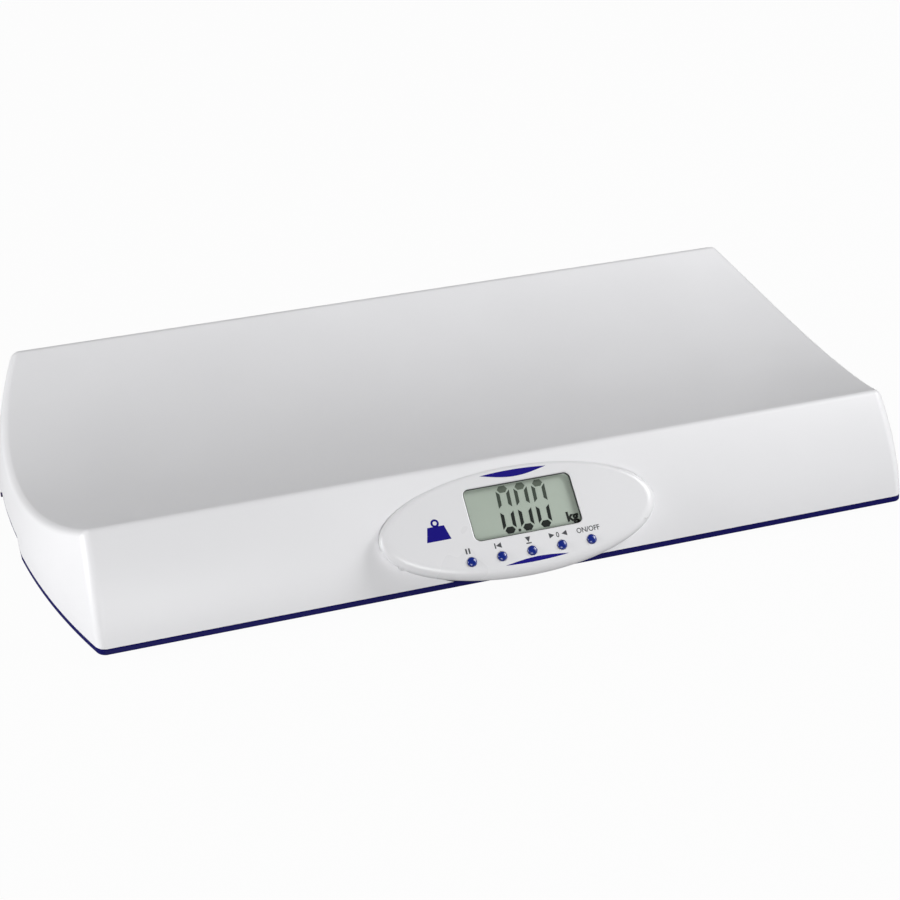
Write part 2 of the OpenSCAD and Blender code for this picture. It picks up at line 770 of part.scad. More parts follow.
module key_cap(k) {
    dome_r = (key_r * key_r + key_dome * key_dome) / (2 * key_dome);
    color("royalblue") at_key(k) {
        intersection() {
            translate([0, 0, flange_top - eps]) cylinder(r = key_r, h = key_proud - flange_top + 1, $fn = 64);
            translate([0, 0, key_proud - dome_r]) sphere(r = dome_r, $fn = 96);
        }
        translate([0, 0, flange_top - flange_t]) cylinder(r = flange_r, h = flange_t, $fn = 64);
        translate([0, 0, plunger_top]) cylinder(r = stem_r, h = flange_top - plunger_top, $fn = 48);
    }
}

module plunger(k) {
    color("ivory") at_key(k) translate([0, 0, plunger_top - plunger_l])
        cylinder(r = plunger_r, h = plunger_l, $fn = 48);
}

module push_switch(k) {
    color("dimgray") at_key(k) difference() {
        translate([-switch_w / 2, -switch_w / 2, board_top]) cube([switch_w, switch_w, switch_h]);
        translate([0, 0, plunger_top - plunger_l - key_travel - 0.1])
            cylinder(r = plunger_r + plunger_gap, h = big, $fn = 48);
    }
}

// ---- fixings of the pod and the housing ----

module pod_screws() {
    color("silver") on_panel() for (p = pod_screws_at()) translate([p[0], p[1], pad_low(p[1])])
        screw(small_head_r, small_head_h, small_screw_r, -pod_t - pod_screw_skin - pad_low(p[1]));
}

module housing_screws() {
    color("silver") in_place() for (p = housing_screws_at) translate([p[0], p[1], counterbore])
        screw(head_r, head_h, screw_r, screw_l);
}

module carrier_screws() {
    color("silver") in_place() for (p = foot_at, s = [-1, 1])
        translate([p[0] + s * ear_span / 2, p[1], cell_top + carrier_t]) rotate([180, 0, 0])
            screw(carrier_head_r, carrier_head_h, carrier_screw_r, cell_top + carrier_t - screw_floor);
}

module box_screws() {
    color("silver") in_place() for (sx = [-1, 1], sy = [-1, 1])
        translate([sx * door_ear_x, bay_y + sy * box_screw_y, box_ear_z + box_ear_t]) rotate([180, 0, 0])
            screw(small_head_r, small_head_h, small_screw_r, box_ear_z + box_ear_t - screw_floor);
}

// ---- load cells and feet, around the corner's foot ----

module at_foot(k) {
    in_place() translate([foot_at[k][0], foot_at[k][1], 0])
        rotate(foot_at[k][0] < 0 ? 180 : 0) children();
}

module load_cell(k) {
    color("silver") at_foot(k) translate([0, 0, cell_low]) difference() {
        linear_extrude(cell_t) rounded_rect(cell_w, cell_w, 3);
        translate([0, 0, -1]) linear_extrude(cell_t + 2) {
            for (s = [-1, 1]) translate([s * (tongue_w + slot_w) / 2, 0])
                square([slot_w, tongue_l], center = true);
            translate([0, -tongue_l / 2]) square([tongue_w + 2 * slot_w, slot_w], center = true);
            circle(r = tongue_hole_r, $fn = 48);
        }
    }
}

module cell_carrier(k) {
    color("whitesmoke") at_foot(k) difference() {
        union() {
            translate([0, 0, cell_top]) linear_extrude(carrier_t) {
                rounded_rect(carrier_w, carrier_w, 3);
                rounded_rect(ear_l, ear_w, 4);
            }
            translate([0, 0, cell_low + 0.4]) linear_extrude(cell_t) square(carrier_w - 1, center = true);
        }
        translate([0, 0, cell_low - 1]) linear_extrude(cell_t + 1)
            square(cell_w + 2 * cell_fit, center = true);
        translate([0, 0, cell_low]) cylinder(r = tongue_l / 2, h = big, $fn = 64);
        for (s = [-1, 1]) translate([s * ear_span / 2, 0, 0]) {
            cylinder(r = carrier_screw_r + screw_clear, h = big, $fn = 32);
            translate([0, 0, cell_low - 1]) cylinder(r = ear_boss_r + 0.3, h = cell_t + 1, $fn = 48);
        }
        // way out for the lead
        translate([-2, -carrier_w / 2, cell_low]) cube([4, carrier_w, cell_t]);
    }
}

module foot(k) {
    color("midnightblue") at_foot(k) difference() {
        union() {
            translate([0, 0, foot_low]) cylinder(r = foot_r, h = -foot_gap - foot_low, $fn = 64);
            translate([0, 0, -foot_gap - eps]) cylinder(r = neck_r, h = cell_low + foot_gap + eps, $fn = 48);
            translate([0, 0, cell_low - eps])
                cylinder(r = tongue_hole_r - pilot_gap, h = cell_t + 0.8, $fn = 48);
        }
        translate([0, 0, foot_low - eps]) cylinder(r = pad_r + 0.1, h = 0.8, $fn = 64);
    }
}

module foot_pad(k) {
    color("dimgray") at_foot(k) difference() {
        translate([0, 0, -foot_h]) cylinder(r = pad_r, h = pad_t + 0.8 - eps, $fn = 64);
        for (r = [5, 9]) translate([0, 0, -foot_h - 1]) difference() {
            cylinder(r = r + 0.6, h = 1.5, $fn = 64);
            translate([0, 0, -1]) cylinder(r = r - 0.6, h = 3.5, $fn = 64);
        }
    }
}

// ---- battery bay ----

module at_bay() {
    in_place() translate([0, bay_y, 0]) children();
}

module battery_box() {
    color("midnightblue") at_bay() difference() {
        union() {
            translate([-bay_out_x, -bay_out_y, box_low])
                cube([2 * bay_out_x, 2 * bay_out_y, box_top - box_low]);
            translate([-door_ear_x - 4, -box_screw_y - 5, box_ear_z])
                cube([2 * door_ear_x + 8, 2 * box_screw_y + 10, box_ear_t]);
        }
        translate([-bay_in_x, -bay_in_y, box_low - 1])
            cube([2 * bay_in_x, 2 * bay_in_y, box_top - box_t - box_low + 1]);
        for (sx = [-1, 1], sy = [-1, 1]) translate([sx * door_ear_x, sy * box_screw_y, 0])
            cylinder(r = small_screw_r + screw_clear, h = big, $fn = 32);
        // way out for the lead
        translate([-3, -bay_out_y - 1, box_top - box_t - 4]) cube([6, box_t + 2, 3]);
    }
}

module battery_cell(k) {
    turn = k % 2 == 0 ? 1 : -1;
    color("darkorange") at_bay() translate([0, (k - 1.5) * aa_pitch, aa_z]) rotate([0, turn * 90, 0]) {
        translate([0, 0, -aa_l / 2]) cylinder(r = aa_r, h = aa_l - button_h, $fn = 64);
        translate([0, 0, aa_l / 2 - button_h - eps]) cylinder(r = button_r, h = button_h + eps, $fn = 32);
    }
}

module battery_contacts() {
    color("silver") at_bay() for (k = [0:1:3], s = [-1, 1])
        translate([s * (bay_in_x - contact_t / 2), (k - 1.5) * aa_pitch, aa_z]) {
            cube([contact_t, aa_pitch - 2, 2 * aa_r - 3], center = true);
            rotate([0, -s * 90, 0])
                cylinder(r1 = spring_r, r2 = button_r - 0.2, h = contact_room - contact_t / 2, $fn = 32);
        }
}

module battery_door() {
    color("midnightblue") at_bay() difference() {
        union() {
            translate([-door_x, door_front, 0]) cube([2 * door_x, hinge_y - door_front, door_t]);
            translate([-door_x, hinge_y, barrel_r]) rotate([0, 90, 0])
                cylinder(r = barrel_r, h = 2 * door_x, $fn = 48);
            translate([-latch_w / 2, door_front, door_t - eps]) cube([latch_w, latch_t, latch_h]);
            translate([-latch_w / 2, door_front - latch_barb, floor_t + 0.4]) cube([latch_w, latch_t, 1]);
        }
        for (s = [-1, 1]) translate([s * (door_x - 3.3), hinge_y, barrel_r]) rotate([0, s * 90, 0])
            cylinder(r = hinge_pin_r + hinge_pin_gap, h = 5, $fn = 32);
        // grip lines on the underside
        for (k = [0:1:2]) translate([-10, door_front + 4 + 3 * k, -1]) cube([20, 1.2, 1.4]);
    }
}

// ---- power inlet and inner leads ----

module power_inlet() {
    color("black") in_place() translate([inlet_x, 0, inlet_z]) {
        difference() {
            union() {
                translate([-inlet_body[0] / 2, inlet_back - inlet_body[1], -inlet_body[2] / 2])
                    cube(inlet_body);
                translate([0, inlet_back - eps, 0]) rotate([-90, 0, 0])
                    cylinder(r = inlet_r, h = inlet_wall_y - inlet_back - 0.6, $fn = 48);
            }
            translate([0, inlet_wall_y - inlet_bore_l, 0]) rotate([-90, 0, 0])
                cylinder(r = inlet_bore_r, h = big, $fn = 48);
        }
        translate([0, inlet_wall_y - inlet_bore_l - 1, 0]) rotate([-90, 0, 0])
            cylinder(r = inlet_pin_r, h = inlet_bore_l - 0.5, $fn = 32);
    }
}

// A lead: a tube swept along the route, with one mitred ring at each point.
lead_sides = 8;
lead_up = [0.35, 0.9, 0.6];  // along no stretch of any route
function unit(v) = v / norm(v);
function way_at(route, i) =
    let (last = len(route) - 1,
         before = unit(route[max(i, 1)] - route[max(i, 1) - 1]),
         after = unit(route[min(i, last - 1) + 1] - route[min(i, last - 1)]))
    unit(before + after);
function ring_at(route, i) =
    let (t = way_at(route, i), u = unit(cross(t, lead_up)), v = cross(t, u))
    [for (k = [0:1:lead_sides - 1]) let (a = 360 * k / lead_sides)
        route[i] + lead_r * (cos(a) * u + sin(a) * v)];

module lead(route) {
    n = lead_sides;
    rings = len(route);
    polyhedron(
        points = [for (i = [0:1:rings - 1]) each ring_at(route, i)],
        faces = concat(
            [for (i = [0:1:rings - 2], k = [0:1:n - 1]) let (a = i * n + k, b = i * n + (k + 1) % n)
                each [[a, b, b + n], [a, b + n, a + n]]],
            [for (k = [1:1:n - 2]) [0, k + 1, k]],
            [for (k = [1:1:n - 2]) [(rings - 1) * n, (rings - 1) * n + k, (rings - 1) * n + k + 1]]));
}

lead_z = floor_t + lead_r + 0.1;
lead_y = 11 - lip_span / 2;  // where the leads turn up into the pod
socket_low = board_low - socket_h;
lead_over_z = lead_z + 2 * lead_r + 0.2;  // where one lead lies over others
function corner_route(k) =
    let (s = foot_at[k][0] < 0 ? -1 : 1, f = foot_at[k][1] < 0 ? -1 : 1, x = foot_at[k][0],
         y0 = foot_at[k][1] - f * (cell_w / 2 + 0.05), z0 = cell_low + cell_t / 2,
         port = s * (f < 0 ? 9 : 3))
    concat([[x, y0, z0], [x, y0 - f * 6, z0], [x, y0 - f * 14, lead_z]],
           f < 0 ? [[s * 150, lead_y + 42, lead_z], [s * 60, lead_y + 27, lead_z]]
                 : [[s * 150, 30, lead_z], [s * 62, -40, lead_z], [s * 50, lead_y + 32, lead_z]],
           [[port, lead_y + 12, lead_z], [port, lead_y, lead_z]], socket_end(port));
function socket_end(port) =
    [to_body([port, socket_y, socket_low - 4]), to_body([port, socket_y, socket_low])];

module cell_leads() {
    color("gray") in_place() for (k = [0:1:3]) lead(corner_route(k));
}

module battery_lead() {
    port = power_socket_x - 2;
    exit_z = box_top - box_t - 2.5;
    color("firebrick") in_place() lead(concat(
        [[0, bay_y - bay_in_y + 0.3, exit_z], [0, bay_y - bay_out_y - 5, exit_z],
         [8, -50, lead_z], [port, lead_y + 34, lead_over_z], [port, lead_y, lead_over_z]],
        socket_end(port)));
}

module inlet_lead() {
    port = power_socket_x + 2;
    start_y = inlet_back - inlet_body[1];
    color("black") in_place() lead(concat(
        [[inlet_x, start_y, inlet_z], [inlet_x, start_y - 6, inlet_z],
         [inlet_x, start_y - 30, lead_z], [62, 20, lead_z], [36, lead_y + 38, lead_over_z],
         [32, lead_y + 24, lead_over_z], [port, lead_y, lead_over_z]],
        socket_end(port)));
}

upper_housing();
base_shell();
display_pod();
display_lens();
lcd_cell();
lcd_holder();
lcd_connector();
main_board();
controller_chip();
buzzer();
lead_sockets();
for (k = [0:1:4]) {
    key_cap(k);
    plunger(k);
    push_switch(k);
}
board_screws();
pod_screws();
housing_screws();
carrier_screws();
box_screws();
for (k = [0:1:3]) {
    load_cell(k);
    cell_carrier(k);
    foot(k);
    foot_pad(k);
    battery_cell(k);
}
battery_box();
battery_contacts();
battery_door();
power_inlet();
cell_leads();
battery_lead();
inlet_lead();
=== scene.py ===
"""Looks of a digital baby weighing scale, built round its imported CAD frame.

Shapes are worked out in millimetres, in the body frame of the scale: x along the length, y to
the back, z up from the bottom of the coloured rim. The display panel has its own frame: x to
the right, y up its slope and z out of its face. Place carries both into the row frame, in
metres.
"""
import json
import logging
import math
from dataclasses import dataclass
from enum import Enum
from functools import cached_property, reduce
from typing import Any, Callable, Optional, Sequence

import bmesh
import bpy
import numpy as np
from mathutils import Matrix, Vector


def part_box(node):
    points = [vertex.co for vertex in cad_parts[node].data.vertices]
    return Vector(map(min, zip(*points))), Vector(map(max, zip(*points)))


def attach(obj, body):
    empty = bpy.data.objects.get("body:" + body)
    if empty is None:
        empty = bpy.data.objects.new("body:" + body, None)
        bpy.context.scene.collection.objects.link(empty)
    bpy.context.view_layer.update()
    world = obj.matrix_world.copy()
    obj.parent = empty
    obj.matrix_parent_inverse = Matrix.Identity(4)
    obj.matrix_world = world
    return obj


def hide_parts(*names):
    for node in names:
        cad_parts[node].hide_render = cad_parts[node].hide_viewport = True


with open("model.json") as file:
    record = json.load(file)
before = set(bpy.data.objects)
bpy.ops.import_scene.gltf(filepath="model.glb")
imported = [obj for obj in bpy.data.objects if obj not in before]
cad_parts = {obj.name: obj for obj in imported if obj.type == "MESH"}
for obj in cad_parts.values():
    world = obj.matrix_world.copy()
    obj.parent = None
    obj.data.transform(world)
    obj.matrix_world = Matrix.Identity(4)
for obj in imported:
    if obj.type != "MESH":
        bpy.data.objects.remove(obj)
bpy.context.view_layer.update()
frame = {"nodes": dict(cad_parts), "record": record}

MM = 0.001
HOUSING_BODY = "housing"
KEY_NAMES = ("hold_key", "recall_key", "store_key", "tare_key", "power_key")
CORNER_NAMES = ("front_left", "front_right", "rear_left", "rear_right")

# Segments round turned shapes and small printed circles.
LARGE_ROUND = 96
SMALL_ROUND = 64
BOSS_ROUND = 32
RING_ROUND = 32
DOT_ROUND = 16

Array = np.ndarray
Pair = tuple[float, float]
Triple = tuple[float, float, float]
Colour = tuple[float, float, float, float]
Piece = bpy.types.Object
Material = bpy.types.Material
Tree = bpy.types.NodeTree
Socket = bpy.types.NodeSocket
log = logging.getLogger("baby_scale")


# ---------------------------------------------------------------- curves in a plane


def arc_radius(chord: float, bulge: float) -> float:
    """Radius of the arc over a chord that rises by a bulge in its middle."""
    return chord * chord / (8 * bulge) + bulge / 2


def arc_centre(a: Array, b: Array, bulge: float) -> Array:
    """Centre of the arc from a to b that bulges to the left of the way."""
    way = b - a
    chord = float(np.linalg.norm(way))
    left = np.array([-way[1], way[0]]) / chord
    return (a + b) / 2 + left * (bulge - arc_radius(chord, bulge))


def circles_meet(c1: Array, r1: float, c2: Array, r2: float) -> Array:
    """Point where two circles meet, to the left of the line from c1 to c2."""
    way = c2 - c1
    d = float(np.linalg.norm(way))
    e = way / d
    along = (r1 * r1 - r2 * r2 + d * d) / (2 * d)
    return c1 + e * along + np.array([-e[1], e[0]]) * math.sqrt(r1 * r1 - along * along)


def arc_points(centre: Array, radius: Array | float, start: float, end: float, count: int) -> Array:
    """Points of an arc between two angles, both ends included.

    Args:
        centre: Centre of the arc.
        radius: Its radius, one for all points or one for each.
        start: First angle, in radians.
        end: Last angle, in radians.
        count: Number of points.

    Returns:
        An array of count points in the plane: centre plus radius times cosine and sine.
    """
    angle = np.linspace(start, end, count)
    return centre + np.stack([radius * np.cos(angle), radius * np.sin(angle)], axis=-1)


def full_turn(count: int) -> Array:
    """Angles once round, from 0, without the closing one."""
    return np.arange(count) * 2 * math.pi / count


def unit_circle(count: int) -> Array:
    """Points of the circle with radius 1 about the origin, anticlockwise."""
    angle = full_turn(count)
    return np.column_stack([np.cos(angle), np.sin(angle)])


def smooth_max(a: Array, b: float, blend: float) -> Array:
    """The larger of two values, with the kink between them rounded over a blend width."""
    h = np.clip(0.5 + 0.5 * (a - b) / blend, 0, 1)
    return b + (a - b) * h + blend * h * (1 - h)


def rounded_rectangle(width: float, height: float, radius: float, steps: int = 12) -> Array:
    """Outline of a rectangle with round corners, as points in the plane, anticlockwise."""
    turns = np.arange(4)
    signs = np.array([[1, 1], [-1, 1], [-1, -1], [1, -1]])
    centres = signs * np.array([width / 2 - radius, height / 2 - radius])
    corners = [arc_points(centres[k], radius, k * math.pi / 2, (k + 1) * math.pi / 2, steps) for k in turns]
    return np.concatenate(corners)


# ---------------------------------------------------------------- meshes


def grid_quads(rows: int, columns: int, closed: bool = False) -> Array:
    """Quads between neighbouring points of a grid.

    Args:
        rows: Number of rows of points.
        columns: Number of points in a row.
        closed: Whether the last column joins the first.

    Returns:
        An array of four point numbers a quad.
    """
    i, j = np.meshgrid(np.arange(rows - 1), np.arange(columns if closed else columns - 1), indexing="ij")
    k = (j + 1) % columns
    quads = [i * columns + j, i * columns + k, (i + 1) * columns + k, (i + 1) * columns + j]
    return np.stack(quads, axis=-1).reshape(-1, 4)


@dataclass
class Shape:
    """A mesh before it is made: points and faces that name them by number."""

    points: Array
    faces: list[Sequence[int]]

    def __add__(self, other: "Shape") -> "Shape":
        """Both shapes as one, side by side."""
        shift = len(self.points)
        moved = [[shift + k for k in face] for face in other.faces]
        return Shape(np.concatenate([self.points, other.points]), list(self.faces) + moved)


def together(shapes: Sequence[Shape]) -> Shape:
    """All shapes as one, side by side."""
    return reduce(Shape.__add__, shapes)


def at_level(outline: Array, level: float) -> Array:
    """Points of an outline in the plane, with a level as their third coordinate."""
    return np.column_stack([outline, np.full(len(outline), level)])


def stack(loops: Sequence[Array] | Array) -> Shape:
    """Closed solid through a stack of closed loops, with a flat face over each end.

    Args:
        loops: Loops of equally many points with three coordinates.

    Returns:
        The solid: quads between neighbouring loops and one polygon over each end.
    """
    grid = np.stack(loops)
    rows, columns = grid.shape[:2]
    faces = grid_quads(rows, columns, closed=True).tolist()
    faces.append(list(range(columns)))
    faces.append(list(range((rows - 1) * columns, rows * columns)))
    return Shape(grid.reshape(-1, 3), faces)


def prism(outline: Array, low: float, high: float) -> Shape:
    """Solid between two levels over an outline in the plane."""
    return stack([at_level(outline, low), at_level(outline, high)])


def ring(outer: Array, inner: Array, low: float, high: float) -> Shape:
    """Flat ring between two outlines of equally many points and two levels."""
    corners = ((outer, low), (outer, high), (inner, high), (inner, low), (outer, low))
    grid = np.stack([at_level(line, level) for line, level in corners])
    return Shape(grid.reshape(-1, 3), grid_quads(len(corners), len(outer), closed=True).tolist())


def turned(profile: Sequence[Pair], segments: int = LARGE_ROUND) -> Shape:
    """Solid of revolution about the z axis.

    Args:
        profile: Pairs of radius and level, from one end of the solid to the other.
        segments: Number of points round the axis.

    Returns:
        The solid: each pair becomes a circle at its level.
    """
    circle = unit_circle(segments)
    return stack([at_level(radius * circle, level) for radius, level in profile])


def add_object(name: str, data: Any) -> Piece:
    """Object at the origin with its data, linked to the scene."""
    made = bpy.data.objects.new(name, data)
    bpy.context.scene.collection.objects.link(made)
    return made


def tidy_mesh(mesh: bpy.types.Mesh, reach: float = 2e-6) -> None:
    """Merges points that coincide, drops faces without area and turns all faces outwards."""
    work = bmesh.new()
    work.from_mesh(mesh)
    bmesh.ops.remove_doubles(work, verts=work.verts, dist=reach)
    bmesh.ops.dissolve_degenerate(work, edges=work.edges, dist=reach / 2)
    bmesh.ops.recalc_face_normals(work, faces=work.faces)
    work.to_mesh(mesh)
    work.free()


def make_piece(name: str, shape: Shape) -> Piece:
    """Mesh object of a closed shape in the row frame, in metres, with its faces outwards."""
    mesh = bpy.data.meshes.new(name)
    mesh.from_pydata(shape.points.tolist(), [], shape.faces)
    tidy_mesh(mesh)
    return add_object(name, mesh)


def merged_copy(node: str, name: str) -> Piece:
    """A CAD node's mesh as an object of its own, with its loose triangles joined."""
    mesh = frame["nodes"][node].data.copy()
    mesh.name = name
    mesh.materials.clear()
    tidy_mesh(mesh)
    return add_object(name, mesh)


class Cut(Enum):
    """What a second solid does to a piece."""

    AWAY = "DIFFERENCE"
    KEEP_INSIDE = "INTERSECT"
    JOIN = "UNION"


def carve(piece: Piece, cutter: Shape | Piece, how: Cut) -> None:
    """Cuts a piece with a closed cutter, applies the cut and deletes the cutter."""
    tool = make_piece("cutter", cutter) if isinstance(cutter, Shape) else cutter
    step = piece.modifiers.new("carve", "BOOLEAN")
    step.solver = "EXACT"
    step.operation = how.value
    step.object = tool
    graph = bpy.context.evaluated_depsgraph_get()
    result = bpy.data.meshes.new_from_object(piece.evaluated_get(graph))
    result.name = piece.data.name
    piece.modifiers.clear()
    piece.data = result
    spent = tool.data
    bpy.data.objects.remove(tool)
    bpy.data.meshes.remove(spent)


def shade(piece: Piece, crease: float) -> None:
    """Smooth shading that keeps creases sharper than an angle in degrees and flat faces flat."""
    mesh = piece.data
    mesh.polygons.foreach_set("use_smooth", np.ones(len(mesh.polygons), bool))
    mesh.set_sharp_from_angle(angle=math.radians(crease))
    weigh = piece.modifiers.new("flat_faces", "WEIGHTED_NORMAL")
    weigh.keep_sharp = True
    weigh.weight = 80


# ---------------------------------------------------------------- materials


def linear_colour(code: str) -> Colour:
    """sRGB hex value as a linear colour with full cover."""
    levels = [int(code[k:k + 2], 16) / 255 for k in (1, 3, 5)]
    linear = [v / 12.92 if v <= 0.04045 else ((v + 0.055) / 1.055) ** 2.4 for v in levels]
    return (linear[0], linear[1], linear[2], 1.0)


def scaled(colour: Colour, factor: float) -> Colour:
    """A colour made lighter or deeper by a factor, at most white."""
    red, green, blue = (min(1.0, level * factor) for level in colour[:3])
    return (red, green, blue, 1.0)


def add_node(tree: Tree, kind: str, links: Optional[dict[Any, Any]] = None,
             inputs: Optional[dict[Any, Any]] = None, **settings: Any) -> bpy.types.Node:
    """Adds one node with its settings, values and links.

    Args:
        tree: Node tree of a material or the world.
        kind: Type of the node.
        links: Output sockets by the name or number of the input that they feed.
        inputs: Values by the name or number of the input that they set.
        settings: Properties of the node itself.

    Returns:
        The new node.
    """
    made = tree.nodes.new(kind)
    for name, value in settings.items():
        setattr(made, name, value)
    for name, value in (inputs or {}).items():
        made.inputs[name].default_value = value
    for name, socket in (links or {}).items():
        tree.links.new(socket, made.inputs[name])
    return made


def empty_material(name: str) -> tuple[Material, Tree, Socket]:
    """New material with only its output node, its tree and the output's surface socket."""
    made = bpy.data.materials.new(name)
    made.use_nodes = True
    tree = made.node_tree
    tree.nodes.clear()
    return made, tree, add_node(tree, "ShaderNodeOutputMaterial").inputs["Surface"]


def noise(tree: Tree, where: Socket, width_mm: float, **inputs: float) -> Socket:
    """Noise whose patches are about a width in millimetres."""
    values = {"Scale": 1 / (width_mm * MM), **inputs}
    return add_node(tree, "ShaderNodeTexNoise", {"Vector": where}, values).outputs["Fac"]


def ranged(tree: Tree, value: Socket, low: float, high: float, span: Pair = (0.0, 1.0)) -> Socket:
    """A value carried from its span over to the range from low to high."""
    ends = {"From Min": span[0], "From Max": span[1], "To Min": low, "To Max": high}
    return add_node(tree, "ShaderNodeMapRange", {"Value": value}, ends).outputs["Result"]


def tinted(tree: Tree, share: Socket, first: Colour, second: Colour) -> Socket:
    """Colour that goes from the first to the second as a share grows."""
    blend = add_node(tree, "ShaderNodeMix", {"Factor": share}, {6: first, 7: second}, data_type="RGBA")
    return blend.outputs[2]


def bumped(tree: Tree, height: Socket, strength: float, depth_mm: float) -> Socket:
    """Normal that leans with a height's slope."""
    values = {"Strength": strength, "Distance": depth_mm * MM}
    return add_node(tree, "ShaderNodeBump", {"Height": height}, values).outputs["Normal"]


def principled(tree: Tree, surface: Socket, links: dict[str, Socket], inputs: dict[str, Any]) -> None:
    """Adds the main shader and leads it to the surface."""
    tree.links.new(add_node(tree, "ShaderNodeBsdfPrincipled", links, inputs).outputs["BSDF"], surface)


def mixed(tree: Tree, surface: Socket, share: Socket, first: bpy.types.Node, second: bpy.types.Node) -> None:
    """Mixes two shaders by the second's share and leads them to the surface."""
    both = add_node(tree, "ShaderNodeMixShader", {"Fac": share, 1: first.outputs[0], 2: second.outputs[0]})
    tree.links.new(both.outputs[0], surface)


@dataclass(frozen=True)
class Finish:
    """Surface of one material and process, with its colour as sRGB hex."""

    name: str
    colour: str
    roughness: float = 0.5

    def material(self) -> Material:
        """The finish as a node material."""
        made, tree, surface = empty_material(self.name)
        where = add_node(tree, "ShaderNodeTexCoord").outputs["Object"]
        self.fill(tree, where, surface)
        return made

    def fill(self, tree: Tree, where: Socket, surface: Socket) -> None:
        """Adds the nodes that lead from the place on the piece, in metres, to its surface."""
        raise NotImplementedError


@dataclass(frozen=True)
class MouldedPlastic(Finish):
    """Injection-moulded plastic: one colour all through, the tool's fine texture on its skin.

    The grain is the spark-eroded texture of the mould, the swirl a slow change of gloss where
    the melt cooled at different speed.
    """

    grain_mm: float = 0.9
    grain_depth_mm: float = 0.004
    swirl_mm: float = 70.0
    swirl_share: float = 0.12
    swirl_span: Pair = (0.3, 0.7)
    deep_share: float = 0.97
    grain_strength: float = 0.35
    coat: float = 0.0
    coat_roughness: float = 0.08
    specular: float = 0.5
    ior: float = 1.53

    def fill(self, tree: Tree, where: Socket, surface: Socket) -> None:
        """Grain on the normal, swirl in tint and gloss."""
        grain = noise(tree, where, self.grain_mm, Detail=2.0, Roughness=0.6)
        swirl = noise(tree, where, self.swirl_mm, Detail=3.0)
        change = self.roughness * self.swirl_share
        gloss = ranged(tree, swirl, self.roughness - change, self.roughness + change, self.swirl_span)
        full = linear_colour(self.colour)
        principled(tree, surface,
                   {"Base Color": tinted(tree, swirl, scaled(full, self.deep_share), full),
                    "Roughness": gloss,
                    "Normal": bumped(tree, grain, self.grain_strength, self.grain_depth_mm)},
                   {"IOR": self.ior, "Specular IOR Level": self.specular, "Coat Weight": self.coat,
                    "Coat Roughness": self.coat_roughness})


@dataclass(frozen=True)
class PlatedSteel(Finish):
    """Sheet or wire steel with a thin bright plating, lightly brushed by handling."""

    brush_mm: float = 0.5
    brush_stretch: Triple = (0.08, 1.0, 1.0)
    roughness_shares: Pair = (0.7, 1.4)

    def fill(self, tree: Tree, where: Socket, surface: Socket) -> None:
        """Brush lines in the gloss, stretched along the length."""
        along = add_node(tree, "ShaderNodeMapping", {"Vector": where}, {"Scale": self.brush_stretch})
        lines = noise(tree, along.outputs["Vector"], self.brush_mm, Detail=3.0)
        gloss = ranged(tree, lines, *(self.roughness * share for share in self.roughness_shares))
        principled(tree, surface, {"Roughness": gloss},
                   {"Base Color": linear_colour(self.colour), "Metallic": 1.0})


@dataclass(frozen=True)
class ClearAcrylic(Finish):
    """Cast clear sheet: nearly invisible face on, with a faint mirror that grows at low angles."""

    colour: str = "#FCFEFD"
    roughness: float = 0.03
    mirror: float = 0.04
    slant_power: float = 5.0
    wave_mm: float = 25.0
    wave_strength: float = 0.05
    wave_depth_mm: float = 0.05

    def fill(self, tree: Tree, where: Socket, surface: Socket) -> None:
        """Light passes straight on, apart from the mirror's share, which grows with a power of the
        slant."""
        slant = add_node(tree, "ShaderNodeLayerWeight", None, {"Blend": 0.5}).outputs["Facing"]
        steep = add_node(tree, "ShaderNodeMath", {0: slant}, {1: self.slant_power}, operation="POWER")
        share = ranged(tree, steep.outputs[0], self.mirror, 1.0)
        through = add_node(tree, "ShaderNodeBsdfTransparent", None, {"Color": linear_colour(self.colour)})
        wave = noise(tree, where, self.wave_mm)
        normal = bumped(tree, wave, self.wave_strength, self.wave_depth_mm)
        mirror = add_node(tree, "ShaderNodeBsdfGlossy", {"Normal": normal}, {"Roughness": self.roughness})
        mixed(tree, surface, share, through, mirror)


@dataclass(frozen=True)
class DisplayGlass(Finish):
    """Reflective liquid crystal cell: a grey-green polariser film over a pearly reflector."""

    roughness: float = 0.28
    pearl_roughness: float = 0.42
    cloud_colour: str = "#C4CAC0"
    pearl_mm: float = 0.25
    cloud_mm: float = 45.0
    cloud_span: Pair = (0.3, 0.7)
    ior: float = 1.5

    def fill(self, tree: Tree, where: Socket, surface: Socket) -> None:
        """Slow clouds of tone with the reflector's fine pearl."""
        cloud = noise(tree, where, self.cloud_mm, Detail=1.0)
        tone = add_node(tree, "ShaderNodeValToRGB", {"Fac": cloud})
        codes = (self.cloud_colour, self.colour)
        for stop, place, code in zip(tone.color_ramp.elements, self.cloud_span, codes):
            stop.position = place
            stop.color = linear_colour(code)
        pearl = noise(tree, where, self.pearl_mm, Detail=1.0)
        gloss = ranged(tree, pearl, self.roughness, self.pearl_roughness)
        links = {"Base Color": tone.outputs["Color"], "Roughness": gloss}
        principled(tree, surface, links, {"IOR": self.ior})


@dataclass(frozen=True)
class PrintedInk(Finish):
    """Pad-printed or dyed mark: a thin even colour with the press's slight mottle."""

    specular: float = 0.5
    ior: float = 1.5
    mottle_mm: float = 0.4
    mottle_share: float = 1.18

    def fill(self, tree: Tree, where: Socket, surface: Socket) -> None:
        """An even colour that the mottle lightens a little."""
        mottle = noise(tree, where, self.mottle_mm, Detail=2.0)
        full = linear_colour(self.colour)
        tint = tinted(tree, mottle, full, scaled(full, self.mottle_share))
        principled(tree, surface, {"Base Color": tint},
                   {"Roughness": self.roughness, "IOR": self.ior, "Specular IOR Level": self.specular})


